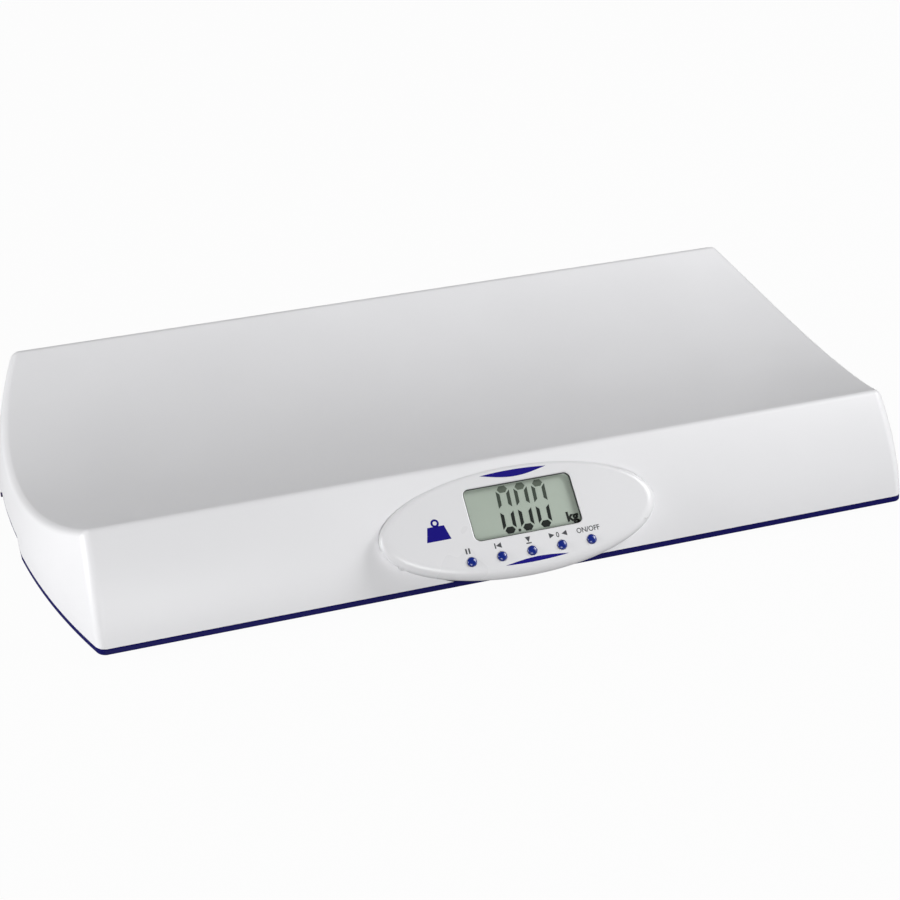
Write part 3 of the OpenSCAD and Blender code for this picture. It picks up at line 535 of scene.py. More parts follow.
# Finishes by the record's slot names, then those of this scene's own small pieces.
FINISHES = {
    "white_abs": MouldedPlastic("white_abs_moulded", "#F0F0F2", 0.42),
    "white_abs_gloss": MouldedPlastic("white_abs_gloss_moulded", "#EAEAEC", 0.3, grain_depth_mm=0.001),
    "navy_abs": MouldedPlastic("navy_abs_moulded", "#0C0957", 0.45, specular=0.15),
    "clear_lens": ClearAcrylic("acrylic_clear"),
    "lcd_glass": DisplayGlass("display_glass_grey_green", "#CCD1C8"),
    "black_plastic": MouldedPlastic("nylon_black_moulded", "#1B1B1D", 0.45),
    "zebra_rubber": MouldedPlastic("silicone_rubber_layered", "#232325", 0.7, grain_mm=0.3),
    "board_laminate": MouldedPlastic("board_laminate_masked", "#0F5A33", 0.35, grain_mm=1.6),
    "ivory_nylon": MouldedPlastic("nylon_ivory_moulded", "#E6DEC8", 0.45),
    "key_blue": MouldedPlastic("key_blue_gloss_moulded", "#182C84", 0.2, grain_depth_mm=0.0005, coat=0.4),
    "zinc_screw": PlatedSteel("steel_zinc_plated", "#C9CBCE", 0.3),
    "cell_steel": PlatedSteel("steel_nickel_plated", "#C6C5C0", 0.25),
    "carrier_plastic": MouldedPlastic("acetal_natural_moulded", "#D8D8D4", 0.5),
    "pad_rubber": MouldedPlastic("rubber_grey_moulded", "#4A4A4C", 0.8, grain_mm=0.5, grain_depth_mm=0.02),
    "cell_jacket": MouldedPlastic("cell_label_film", "#C9692B", 0.35, grain_depth_mm=0.001),
    "contact_plate": PlatedSteel("spring_steel_nickel_plated", "#CFCBC0", 0.28),
    "lead_grey": MouldedPlastic("vinyl_grey_extruded", "#77797C", 0.5),
    "lead_red": MouldedPlastic("vinyl_red_extruded", "#A42A28", 0.5),
    "lead_black": MouldedPlastic("vinyl_black_extruded", "#202022", 0.5),
    "digit_dark": PrintedInk("display_segment_dark", "#0E110E", 0.4),
    # painted highlight: lighter tones for the digits' top bars and upper posts, standing for light on the
    # upper part of the display
    "digit_upper_painted_highlight": PrintedInk("display_segment_upper_painted_highlight", "#40473E", 0.4),
    "digit_top_painted_highlight": PrintedInk("display_segment_top_painted_highlight", "#646B60", 0.4),
    "legend_grey": PrintedInk("pad_print_grey", "#3E4045"),
    "mark_navy": PrintedInk("pad_print_navy", "#120878", specular=0.12),
    # painted shade: dark finish of the lining that darkens the window's recess wall
    "painted_window_shade": MouldedPlastic("painted_shade_black_lining", "#26282A", 0.6),
}


class FinishShelf:
    """Makes each finish once and hands it to the pieces that wear it."""

    def __init__(self) -> None:
        """Starts with no material made."""
        self.made: dict[str, Material] = {}

    def dress(self, piece: Piece, key: str) -> None:
        """Gives a piece one finish on all its faces, made on first use."""
        if key not in self.made:
            self.made[key] = FINISHES[key].material()
        piece.data.materials.clear()
        piece.data.materials.append(self.made[key])
        piece.data.polygons.foreach_set("material_index", np.zeros(len(piece.data.polygons), np.int32))


# ---------------------------------------------------------------- the scale's form


@dataclass(frozen=True)
class BodyForm:
    """Outer form of the housing in millimetres: an arc section carried lengthwise between two
    bowed and leaning ends."""

    length: float = 600.0
    depth: float = 324.0
    height: float = 66.0
    end_bow: float = 28.0
    end_lean: float = 13.7
    end_bulge: float = 2.4
    wall_lean: float = 39.0
    wall_bulge: float = 6.0
    tray_sag: float = 29.0
    lip_r: float = 5.0
    edge_r: float = 4.6
    edge_swell: float = 0.25
    wall_steps: int = 22
    lip_steps: int = 11
    tray_steps: int = 120
    edge_steps: int = 8
    bar_steps: int = 26
    cap_steps: int = 14

    @cached_property
    def wall_foot(self) -> Array:
        """Foot of the front wall, as y and z."""
        return np.array([-self.depth / 2, 0.0])

    @cached_property
    def wall_top(self) -> Array:
        """Corner where the front wall's arc would meet the lip."""
        return np.array([self.wall_lean - self.depth / 2, self.height])

    @cached_property
    def wall_r(self) -> float:
        """Radius of the front wall's arc."""
        return arc_radius(float(np.linalg.norm(self.wall_top - self.wall_foot)), self.wall_bulge)

    @cached_property
    def wall_c(self) -> Array:
        """Centre of the front wall's arc."""
        return arc_centre(self.wall_foot, self.wall_top, self.wall_bulge)

    @cached_property
    def tray_r(self) -> float:
        """Radius of the tray's arc."""
        return arc_radius(-2 * self.wall_top[0], self.tray_sag)

    @cached_property
    def tray_c(self) -> Array:
        """Centre of the tray's arc."""
        return np.array([0.0, self.height - self.tray_sag + self.tray_r])

    @cached_property
    def lip_c(self) -> Array:
        """Centre of the round lip, which touches both arcs."""
        return circles_meet(self.wall_c, self.wall_r - self.lip_r, self.tray_c, self.tray_r + self.lip_r)

    @cached_property
    def end_r(self) -> float:
        """Radius of an end's bow at the foot, seen from above."""
        return ((self.depth / 2) ** 2 + self.end_bow ** 2) / (2 * self.end_bow)

    @cached_property
    def end_axis(self) -> float:
        """Where the upright axis of the right end's bow stands."""
        return self.length / 2 - self.end_r

    @cached_property
    def end_wall_r(self) -> float:
        """Radius of the end wall's upright arc."""
        return arc_radius(math.hypot(self.end_lean, self.height), self.end_bulge)

    @cached_property
    def end_wall_c(self) -> Array:
        """Centre of the end wall's upright arc, as distance from the axis and z."""
        return arc_centre(np.array([self.end_r - self.end_lean, self.height]),
                          np.array([self.end_r, 0.0]), self.end_bulge)

    def wall_reach(self, inset: Array, z: Array) -> Array:
        """How far the front and back walls, set in by inset, stand from the middle at a level."""
        return -self.wall_c[0] + np.sqrt((self.wall_r - inset) ** 2 - (z - self.wall_c[1]) ** 2)

    def end_reach(self, y: Array, z: Array, inset: float) -> Array:
        """How far an end wall stands from the middle at a place: the upright arc gives the bow's
        radius at z, and the bow's circle gives x at y."""
        radius = self.end_wall_c[0] + np.sqrt((self.end_wall_r - inset) ** 2 - (z - self.end_wall_c[1]) ** 2)
        return self.end_axis + np.sqrt(radius ** 2 - y ** 2)

    def swell(self, z: Array) -> Array:
        """Radius of the round edge between wall and end at a level, as a share of its radius at
        the lip: a sine wave over the wall's height, widest a little above its middle."""
        share = np.clip(z / self.height, 0, 1)
        return 1 + self.edge_swell * np.sin(math.pi * share ** 1.5)

    def section(self, inset: float, low: float, depth: float = 0.0) -> Array:
        """Chain of points over the section, from the front wall's foot to the back wall's foot.

        Args:
            inset: How far the chain lies under the outer surface.
            low: Level at which both walls end.
            depth: How much deeper it lies at the lip; on the walls that swells with the edge.

        Returns:
            Points as y and z: wall arc, lip arc, half of the tray's arc, and their mirror image.
        """
        out_way = self.lip_c - self.wall_c
        in_way = self.tray_c - self.lip_c
        foot_r = self.wall_r - inset - depth * self.swell(low)
        foot = math.pi - math.asin((low - self.wall_c[1]) / foot_r)
        lip_start = math.atan2(out_way[1], out_way[0])
        lip_end = math.atan2(in_way[1], in_way[0])
        level = arc_points(self.wall_c, self.wall_r, foot, lip_start, self.wall_steps)[:, 1]
        wall_depth = depth * self.swell(level)
        wall_depth[-1] = depth
        wall = arc_points(self.wall_c, self.wall_r - inset - wall_depth, foot, lip_start, self.wall_steps)
        inset = inset + depth
        lip = arc_points(self.lip_c, self.lip_r - inset, lip_start, lip_end, self.lip_steps)
        tray = arc_points(self.tray_c, self.tray_r + inset, lip_end + math.pi, 2 * math.pi - lip_end,
                          self.tray_steps)
        front = np.concatenate([wall[:-1], lip[:-1]])
        back = front[::-1] * np.array([-1.0, 1.0])
        return np.concatenate([front, tray, back])

    def edge_rings(self, inset: float) -> tuple[Array, Array]:
        """Steps of the round edge between walls and ends: depth under the wall and distance short
        of the end, as a quarter circle."""
        turn = np.linspace(0, math.pi / 2, self.edge_steps)
        radius = self.edge_r - inset
        return radius * (1 - np.cos(turn)), radius * (1 - np.sin(turn))

    def skin(self, inset: float, low: float, lower_edge: Callable[[Array], Array]) -> Array:
        """Surface of the body from one end's foot over the tray to the other end's foot.

        Args:
            inset: How far the surface lies under the outer one.
            low: Level at which the walls end.
            lower_edge: Function that gives the level of the end walls' lower edge at y.

        Returns:
            Grid of chains by points by three coordinates. Its rows are the left end wall's
            upright columns, the round edge, the long bar and the same again at the right.
        """
        depths, shorts = self.edge_rings(inset)
        chains = [self.section(inset, low, float(depth)) for depth in depths]
        edge = [np.column_stack([self.end_reach(c[:, 0], c[:, 1], inset) - short * self.chain_swell(c), c])
                for c, short in zip(chains, shorts)]
        top = chains[-1]
        foot = np.minimum(lower_edge(top[:, 0]), top[:, 1])
        share = np.linspace(1, 0, self.cap_steps)[1:, None]
        cap_z = foot + share * (top[:, 1] - foot)
        cap_y = np.broadcast_to(top[:, 0], cap_z.shape)
        cap = np.stack([self.end_reach(cap_y, cap_z, inset), cap_y, cap_z], axis=-1)
        right = np.concatenate([np.stack(edge), cap])
        left = right[::-1] * np.array([-1.0, 1.0, 1.0])
        along = np.linspace(-1, 1, self.bar_steps)[1:-1, None, None]
        bar = edge[0][None] * np.concatenate([along, np.ones((len(along), 1, 2))], axis=-1)
        return np.concatenate([left, bar, right])

    def chain_swell(self, chain: Array) -> Array:
        """Share of the round edge's radius along a chain: swollen on walls, plain on lip and tray."""
        share = np.ones(len(chain))
        on_wall = self.wall_steps - 1
        share[:on_wall] = self.swell(chain[:on_wall, 1])
        share[-on_wall:] = self.swell(chain[-on_wall:, 1])
        return share

    def plan_loop(self, inset: float, z: float) -> Array:
        """Closed outline of the body at a level, with round corners.

        Args:
            inset: How far the outline lies under the outer surface.
            z: Level of the outline.

        Returns:
            Points with three coordinates, from the middle of the front edge round to it again.
        """
        depths, shorts = self.edge_rings(inset)
        corner_y = -self.wall_reach(inset + depths * self.swell(z), z)
        corner_x = self.end_reach(corner_y, z, inset) - shorts * self.swell(z)
        front_x = np.linspace(0, corner_x[0], self.bar_steps // 2)[:-1]
        end_y = np.linspace(corner_y[-1], 0, self.tray_steps // 3)[1:]
        quarter = np.concatenate([
            np.column_stack([front_x, np.full_like(front_x, corner_y[0])]),
            np.column_stack([corner_x, corner_y]),
            np.column_stack([self.end_reach(end_y, z, inset), end_y])])
        half = np.concatenate([quarter, quarter[-2::-1] * np.array([1.0, -1.0])])
        loop = np.concatenate([half, half[-2:0:-1] * np.array([-1.0, 1.0])])
        return np.column_stack([loop, np.full(len(loop), z)])


@dataclass(frozen=True)
class Panel:
    """Where the tilted display panel lies: its tilt in degrees and how far it stands proud of
    the lip, in millimetres."""

    tilt: float = 40.0
    proud: float = 1.0

    def to_body(self, points: Array, form: BodyForm) -> Array:
        """Points of the panel frame in the body frame: turned by the tilt about the lip."""
        c, s = math.cos(math.radians(self.tilt)), math.sin(math.radians(self.tilt))
        y, z = points[..., 1], points[..., 2] + self.proud
        top = form.wall_top
        return np.stack([points[..., 0], top[0] + y * c - z * s, top[1] + y * s + z * c], axis=-1)


class Place:
    """Carries points of the body frame and the panel frame into the row frame, in metres."""

    def __init__(self, form: BodyForm, panel: Panel) -> None:
        """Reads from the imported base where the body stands."""
        low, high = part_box("base_shell")
        self.form = form
        self.panel = panel
        self.shift = np.array([0.0, (low.y + high.y) / 2, low.z])

    def body(self, shape: Shape) -> Shape:
        """A shape of the body frame in the row frame."""
        return Shape(shape.points * MM + self.shift, shape.faces)

    def on_panel(self, shape: Shape, x: float = 0.0, y: float = 0.0) -> Shape:
        """A shape of the panel frame, moved to x and y on the panel, in the row frame."""
        moved = shape.points + np.array([x, y, 0.0])
        return self.body(Shape(self.panel.to_body(moved, self.form), shape.faces))


class Workshop:
    """What every sub-assembly needs: the form, the place, the finishes, and one way to finish
    a piece."""

    def __init__(self) -> None:
        """Sets up the form, its place and the shelf of finishes."""
        self.form = BodyForm()
        self.place = Place(self.form, Panel())
        self.shelf = FinishShelf()

    def finish(self, made: Piece, finish: str, slot: str, body: str = HOUSING_BODY,
               stands_for: Sequence[str] = (), crease: float = 32.0) -> Piece:
        """Shades and dresses a piece and ties it to its body.

        Args:
            made: The piece, in place.
            finish: Key of its finish on the shelf.
            slot: The record's material slot; not used.
            body: CAD body that it moves with.
            stands_for: CAD nodes that it replaces.
            crease: Angle above which an edge stays sharp.

        Returns:
            The same piece.
        """
        shade(made, crease)
        self.shelf.dress(made, finish)
        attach(made, body)
        if stands_for:
            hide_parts(*stands_for)
        log.info("%s: %d faces on %s", made.name, len(made.data.polygons), body)
        return made


# ---------------------------------------------------------------- housing and base


@dataclass
class Housing:
    """White upper housing with the tray, and the navy base shell under it."""

    shop: Workshop
    wall_t: float = 2.8
    rim_h: float = 4.1
    rim_base: float = 2.9
    rim_gap: float = 0.05
    rim_step: float = 0.3
    rim_edge_r: float = 0.7
    rim_edge_steps: int = 5
    rim_short: float = 1.5
    trim_levels: tuple[float, ...] = (6.0, 9.0, 12.0, 16.0)
    grip_h: float = 11.0
    grip_w: float = 88.0
    grip_top_w: float = 60.0
    grip_gap: float = 0.25
    grip_blend: float = 2.2
    hole_a: float = 78.0
    hole_b: float = 30.0
    hole_depth: float = 30.0
    hole_steps: int = 120
    pod_drop: float = 45.0
    inlet_at: Pair = (60.0, 14.5)
    inlet_r: float = 4.4
    inlet_chamfer: float = 0.7
    inlet_depth: float = 12.0
    inlet_mouth: float = 0.25
    inlet_over: float = 8.0

    def lower_edge(self, y: Array) -> Array:
        """Level of the white end wall's lower edge at y: the rim's top, and over the grip an arch
        with slanted sides, all its corners rounded."""
        slope = (self.grip_w - self.grip_top_w) / 2 / self.grip_h
        side = (self.grip_w / 2 + self.grip_gap * math.hypot(1, slope) - np.abs(y)) / slope
        capped = -smooth_max(-side, -(self.grip_h + self.grip_gap), self.grip_blend)
        return smooth_max(capped, self.rim_h, self.grip_blend)

    def shell(self) -> Shape:
        """The housing as a closed wall: outer surface, inner surface and the strip along its edge."""
        outer = self.shop.form.skin(0.0, self.rim_h, self.lower_edge)
        inner = self.shop.form.skin(self.wall_t, self.rim_h, self.lower_edge)
        rows, columns = outer.shape[:2]
        quads = grid_quads(rows, columns)
        both = Shape(outer.reshape(-1, 3), quads.tolist())
        both = both + Shape(inner.reshape(-1, 3), quads[:, ::-1].tolist())
        number = np.arange(rows * columns).reshape(rows, columns)
        border = np.concatenate([number[0], number[1:, -1], number[-1, -2::-1], number[-2:0:-1, 0]])
        after = np.roll(border, -1)
        shift = rows * columns
        strip = np.stack([border, after, after + shift, border + shift], axis=-1)
        return Shape(both.points, both.faces + strip.tolist())

    def pod_opening(self) -> Shape:
        """Cutter for the opening under the display pod: an oval prism square to the panel."""
        angle = full_turn(self.hole_steps)
        oval = np.column_stack([self.hole_a * np.cos(angle), self.hole_b * np.sin(angle) - self.pod_drop])
        return self.shop.place.on_panel(prism(oval, -self.hole_depth, self.hole_depth))

    def inlet_opening(self) -> Shape:
        """Cutter for the power inlet's hole in the back wall, with a chamfer at its mouth."""
        reach = float(self.shop.form.wall_reach(0.0, self.inlet_at[1]))
        narrow, wide = self.inlet_r, self.inlet_r + self.inlet_chamfer
        made = turned([(narrow, reach - self.inlet_depth), (narrow, reach - self.inlet_chamfer),
                       (wide, reach + self.inlet_mouth), (wide, reach + self.inlet_over)], SMALL_ROUND)
        x, y, z = made.points.T
        points = np.column_stack([x + self.inlet_at[0], z, y + self.inlet_at[1]])
        return self.shop.place.body(Shape(points, made.faces))

    def build_upper(self) -> Piece:
        """The upper housing with its openings."""
        made = make_piece("tray_housing", self.shop.place.body(self.shell()))
        carve(made, self.pod_opening(), Cut.AWAY)
        carve(made, self.inlet_opening(), Cut.AWAY)
        return self.shop.finish(made, "white_abs", "white_abs", stands_for=["upper_housing"], crease=38)

    def base_envelope(self) -> Shape:
        """Solid that the base is trimmed to: a small step in from the wall, with a rounded lower
        edge and the body's round corners."""
        form, step, r = self.shop.form, self.rim_step, self.rim_edge_r
        turn = np.linspace(0, math.pi / 2, self.rim_edge_steps)
        levels = [(step + r * (1 - math.sin(t)), r * (1 - math.cos(t))) for t in turn]
        levels += [(step, z) for z in (self.rim_h, *self.trim_levels)]
        return self.shop.place.body(stack([form.plan_loop(inset, z) for inset, z in levels]))

    def rim_band(self, side: int) -> Shape:
        """Upper part of the visible rim along one long side and round both corners to the grips."""
        lines = []
        for inset in (self.rim_step, self.wall_t - self.rim_gap):
            loop = self.shop.form.plan_loop(inset, self.rim_base)
            front = loop[loop[:, 1] < -self.grip_w / 2 - self.rim_short]
            order = np.argsort(np.arctan2(front[:, 1], front[:, 0]))
            lines.append(front[order, :2] * np.array([1.0, side]))
        outline = np.concatenate([lines[0], lines[1][::-1]])
        return self.shop.place.body(prism(outline, self.rim_base, self.rim_h - self.rim_gap))

    def build_base(self) -> Piece:
        """The base shell: the CAD solid, trimmed to rounded corners and a rounded lower edge."""
        made = merged_copy("base_shell", "base_tub")
        carve(made, self.base_envelope(), Cut.KEEP_INSIDE)
        for side in (1, -1):
            carve(made, self.rim_band(side), Cut.JOIN)
        return self.shop.finish(made, "navy_abs", "navy_abs", stands_for=["base_shell"])


# ---------------------------------------------------------------- display pod


@dataclass
class DisplayPod:
    """Oval pod with the window and its dark lining of painted shade, and what the marks and keys on it have
    to know.
    """

    shop: Workshop
    half_w: float = 92.6
    half_d: float = 36.0
    drop: float = 45.0
    shift: Pair = (-1.0, 2.5)
    low: float = 4.4
    wall_t: float = 2.4
    edge_r: float = 5.0
    edge_r_swing: float = 1.3
    edge_stretch: float = 1.5
    taper: float = 0.32
    tail: float = 60.0
    oval_steps: int = 256
    edge_steps: int = 18
    skin_step: float = 0.06
    body_gap: float = 0.22
    half_block: float = 110.0
    cutter_over: float = 1.0
    boss_r: float = 2.8
    boss_at: Pair = (80.0, 10.0)
    boss_level: float = -40.0
    board_boss_r: float = 2.4
    board_boss_x: float = 45.2
    board_boss_y: Pair = (-26.0, -57.0)
    board_level: float = -12.0
    window_w: float = 72.5
    window_d: float = 34.6
    window_r: float = 4.0
    window_at: Pair = (2.2, -35.4)
    window_slack: float = 0.02
    bevel_r: float = 0.9
    bevel_over: float = 0.5
    bevel_steps: int = 8
    face_t: float = 2.4
    display_level: float = -3.8
    ink_t: float = 0.05
    # painted shade: width, gap and drop of the dark lining in the window's recess
    shade_lining_t: float = 0.35
    shade_lining_gap: float = 0.02
    shade_lining_drop: float = 0.1
    key_hole_r: float = 3.08
    key_hole_bevel: float = 0.3
    key_hole_level: float = -8.0
    key_pitch: float = 20.1
    key_drop: float = 64.9
    legend_rise: float = 7.2
    legend_left: float = -0.8

    def key_x(self, k: int) -> float:
        """Where a key stands along the row, whose third key is in the middle."""
        return (k - 2) * self.key_pitch

    def puck(self, wall: float) -> Shape:
        """Outer form of the pod, or its cavity a wall's thickness further in.

        Ellipses grow from the face's edge along a quarter circle, softer at the lower side of the
        oval, and draw in again below it in a straight taper.

        Args:
            wall: Distance from the outer form.

        Returns:
            The closed form in the row frame.
        """
        angle = full_turn(self.oval_steps)
        radius = self.edge_r - self.edge_r_swing * np.sin(angle) - wall / 2
        turn = np.linspace(math.pi / 2, -math.atan(self.taper), self.edge_steps)[:, None]
        drawn_in, fall = radius * (1 - np.cos(turn)), radius * (1 - np.sin(turn))
        drawn_in = wall + np.concatenate([drawn_in, drawn_in[-1:] + self.taper * self.tail])
        fall = wall + self.skin_step + np.concatenate([fall, fall[-1:] + self.tail])
        x = (self.half_w - self.edge_stretch * drawn_in) * np.cos(angle) + self.shift[0]
        y = (self.half_d - drawn_in) * np.sin(angle) - self.drop + self.shift[1]
        return self.shop.place.on_panel(stack(np.stack([x, y, -fall], axis=-1)))

    def above(self, level: float) -> Shape:
        """Block that holds everything of the pod above a level of the body."""
        form, half = self.shop.form, self.half_block
        block = np.array([[-half, -form.depth], [half, -form.depth], [half, 0.0], [-half, 0.0]])
        return self.shop.place.body(prism(block, level, 2 * form.height))

    def body_bar(self) -> Shape:
        """Stretch of the body that the pod is cut back to, with a small gap."""
        chain = self.shop.form.section(-self.body_gap, 0.0)
        ends = (-self.half_block, self.half_block)
        return self.shop.place.body(stack([np.column_stack([np.full(len(chain), x), chain]) for x in ends]))

    def bosses(self) -> Shape:
        """Screw bosses under the face: four long ones to the housing, four short ones for the board."""
        (far_x, far_y), high = self.boss_at, -self.wall_t / 2
        kinds = ((self.boss_r, self.boss_level, far_x, (far_y - self.drop, -far_y - self.drop)),
                 (self.board_boss_r, self.board_level, self.board_boss_x, self.board_boss_y))
        made = []
        for side in (-1, 1):
            for radius, low, x, places in kinds:
                boss = turned([(0.0, low), (radius, low), (radius, high), (0.0, high)], BOSS_ROUND)
                made += [self.shop.place.on_panel(boss, side * x, y) for y in places]
        return together(made)

    def key_holes(self) -> Shape:
        """Cutters of the five key holes, with a fine bevel at the face."""
        low, high, face = self.key_hole_level, self.cutter_over, -self.skin_step
        narrow, wide = self.key_hole_r, self.key_hole_r + self.key_hole_bevel
        hole = turned([(0.0, low), (narrow, low), (narrow, face - self.key_hole_bevel), (wide, face),
                       (wide, high), (0.0, high)], SMALL_ROUND)
        return together([self.shop.place.on_panel(hole, self.key_x(k), -self.key_drop)
                         for k in range(len(KEY_NAMES))])

    def window_cutter(self) -> Shape:
        """Cutter for the window: straight below, rounded outwards at the face."""
        r, face = self.bevel_r, -self.skin_step
        turn = np.linspace(0, math.pi / 2, self.bevel_steps)
        steps = [(r + self.bevel_over, self.cutter_over)]
        steps += [(r * (1 - math.sin(t)), face - r * (1 - math.cos(t))) for t in turn]
        steps.append((0.0, -self.face_t - self.cutter_over))
        loops = []
        for grow, level in steps:
            more = 2 * (grow + self.window_slack)
            outline = rounded_rectangle(self.window_w + more, self.window_d + more, self.window_r + grow)
            loops.append(at_level(outline, level))
        return self.shop.place.on_panel(stack(loops), *self.window_at)

    def build_shell(self) -> Piece:
        """The pod's shell: its form hollowed, with bosses, cut back to the body, and its openings."""
        made = make_piece("pod_shell", self.puck(0.0))
        carve(made, self.above(self.low), Cut.KEEP_INSIDE)
        cavity = make_piece("pod_cavity", self.puck(self.wall_t))
        carve(cavity, self.above(self.low + self.wall_t), Cut.KEEP_INSIDE)
        carve(made, cavity, Cut.AWAY)
        carve(made, self.bosses(), Cut.JOIN)
        for opening in (self.body_bar(), self.window_cutter(), self.key_holes()):
            carve(made, opening, Cut.AWAY)
        return self.shop.finish(made, "white_abs_gloss", "white_abs_gloss", stands_for=["display_pod"],
                                crease=34)

    def build_shade_lining(self) -> Piece:
        """Painted shade: a dark lining over the window's wall between its rounded edge and the lens, standing
        for the shade in that recess.
        """
        gap, inset = 2 * self.shade_lining_gap, 2 * self.shade_lining_t
        outer = rounded_rectangle(self.window_w - gap, self.window_d - gap, self.window_r)
        inner = rounded_rectangle(self.window_w - inset, self.window_d - inset, self.window_r - self.shade_lining_t)
        lining = ring(outer, inner, self.shade_lining_gap - self.face_t, -self.bevel_r - self.shade_lining_drop)
        made = make_piece("window_shade_lining", self.shop.place.on_panel(lining, *self.window_at))
        # painted shade: the lining wears a dark finish so that the recess wall looks shaded
        return self.shop.finish(made, "painted_window_shade", "black_plastic")

    def plate(self, outline: Sequence[Pair] | Array, level: float) -> Shape:
        """Thin flat mark over an outline of the panel, lying on a level."""
        return self.shop.place.on_panel(prism(np.array(outline, float), level, level + self.ink_t))

    def lettering(self, name: str, words: str, size: float, at: Pair, level: float,
                  bold: float, stretch: float = 1.0) -> Piece:
        """Flat letters or figures on the panel, as a thin mesh.

        Args:
            name: Name of the piece.
            words: What is written.
            size: Size of the letters in millimetres.
            at: Left end of the base line on the panel.
            level: Level on which the letters lie.
            bold: How far the outlines are grown.
            stretch: Width of the letters as a share of the plain width.

        Returns:
            The mesh object, in place.
        """
        curve = bpy.data.curves.new(name, "FONT")
        curve.body = words
        curve.size = size
        curve.offset = bold
        curve.extrude = self.ink_t / 2
        curve.resolution_u = 4
        source = add_object(name + "_curve", curve)
        graph = bpy.context.evaluated_depsgraph_get()
        flat = bpy.data.meshes.new_from_object(source.evaluated_get(graph))
        points = np.zeros(len(flat.vertices) * 3)
        flat.vertices.foreach_get("co", points)
        points = points.reshape(-1, 3) * np.array([stretch, 1.0, 1.0])
        points += np.array([0.0, 0.0, level + self.ink_t / 2])
        faces = [list(face.vertices) for face in flat.polygons]
        bpy.data.objects.remove(source)
        bpy.data.curves.remove(curve)
        bpy.data.meshes.remove(flat)
        return make_piece(name, self.shop.place.on_panel(Shape(points, faces), *at))


@dataclass
class Digits:
    """Seven-segment digits of the display, without their middle bars, and the unit's letters.

    The bars' and posts' slants are shares of their own height and width.
    """

    pod: DisplayPod
    centres: tuple[float, ...] = (-9.0, 3.0, 15.0)
    middle: float = -34.7
    half_h: float = 15.9
    half_w: float = 4.5
    bar_w: float = 7.0
    bar_h: float = 4.5
    bar_slant: float = 0.75
    post_w: float = 2.3
    post_slant: float = 0.9
    post_short: float = 0.4
    gap: float = 1.3
    lean: float = 0.066
    dot_at: Pair = (-2.9, -49.4)
    dot_r: float = 1.0
    unit_at: Pair = (29.5, -49.6)
    unit_size: float = 8.6
    unit_bold: float = 0.42

    def bar(self, x: float, up: int) -> list[Pair]:
        """Fat hexagon at the top or the bottom of a digit."""
        y = self.middle + up * (self.half_h - self.bar_h / 2)
        w, h = self.bar_w / 2, self.bar_h / 2
        flat = w - h * self.bar_slant
        return [(x - w, y), (x - flat, y - h), (x + flat, y - h), (x + w, y), (x + flat, y + h),
                (x - flat, y + h)]

    def post(self, x: float, side: int, up: int) -> list[Pair]:
        """Upright bar at one side of a digit, upper or lower, with slanted ends."""
        outer, inner = x + side * self.half_w, x + side * (self.half_w - self.post_w)
        near, far = self.gap, self.half_h - self.gap - self.post_short * self.bar_h
        points = [(outer, near), (outer, far), (inner, far - self.post_w),
                  (inner, near + self.post_slant * self.post_w)]
        line = [(px, self.middle + up * py) for px, py in points]
        return line if side * up > 0 else line[::-1]

    def strokes(self) -> list[tuple[str, list[Pair]]]:
        """Tone and leaning outline of every stroke: top and bottom bar, upper and lower posts; the top bar
        and upper posts are lighter, as painted highlight.
        """
        foot, made = self.middle - self.half_h, []
        for x in self.centres:
            # painted highlight: top bars and upper posts take lighter tones than the lower strokes
            lines = [("digit_top_painted_highlight", self.bar(x, 1)), ("digit_dark", self.bar(x, -1))]
            for tone, up in (("digit_upper_painted_highlight", 1), ("digit_dark", -1)):
                lines += [(tone, self.post(x, side, up)) for side in (-1, 1)]
            made += [(tone, [(px + self.lean * (py - foot), py) for px, py in line]) for tone, line in lines]
        return made

    def build(self) -> None:
        """All digits in three tones, two of them lighter as painted highlight on the upper strokes, the
        decimal point and the unit.
        """
        pod, level = self.pod, self.pod.display_level
        dot = self.dot_r * unit_circle(DOT_ROUND) + np.array(self.dot_at)
        tones: dict[str, list[Shape]] = {}
        for tone, line in self.strokes() + [("digit_dark", dot)]:
            tones.setdefault(tone, []).append(pod.plate(line, level))
        for tone, marks in tones.items():
            pod.shop.finish(make_piece(f"display_{tone}", together(marks)), tone, "lcd_glass")
        unit = pod.lettering("display_unit", "kg", self.unit_size, self.unit_at, level, self.unit_bold)
        pod.shop.finish(unit, "digit_dark", "lcd_glass")


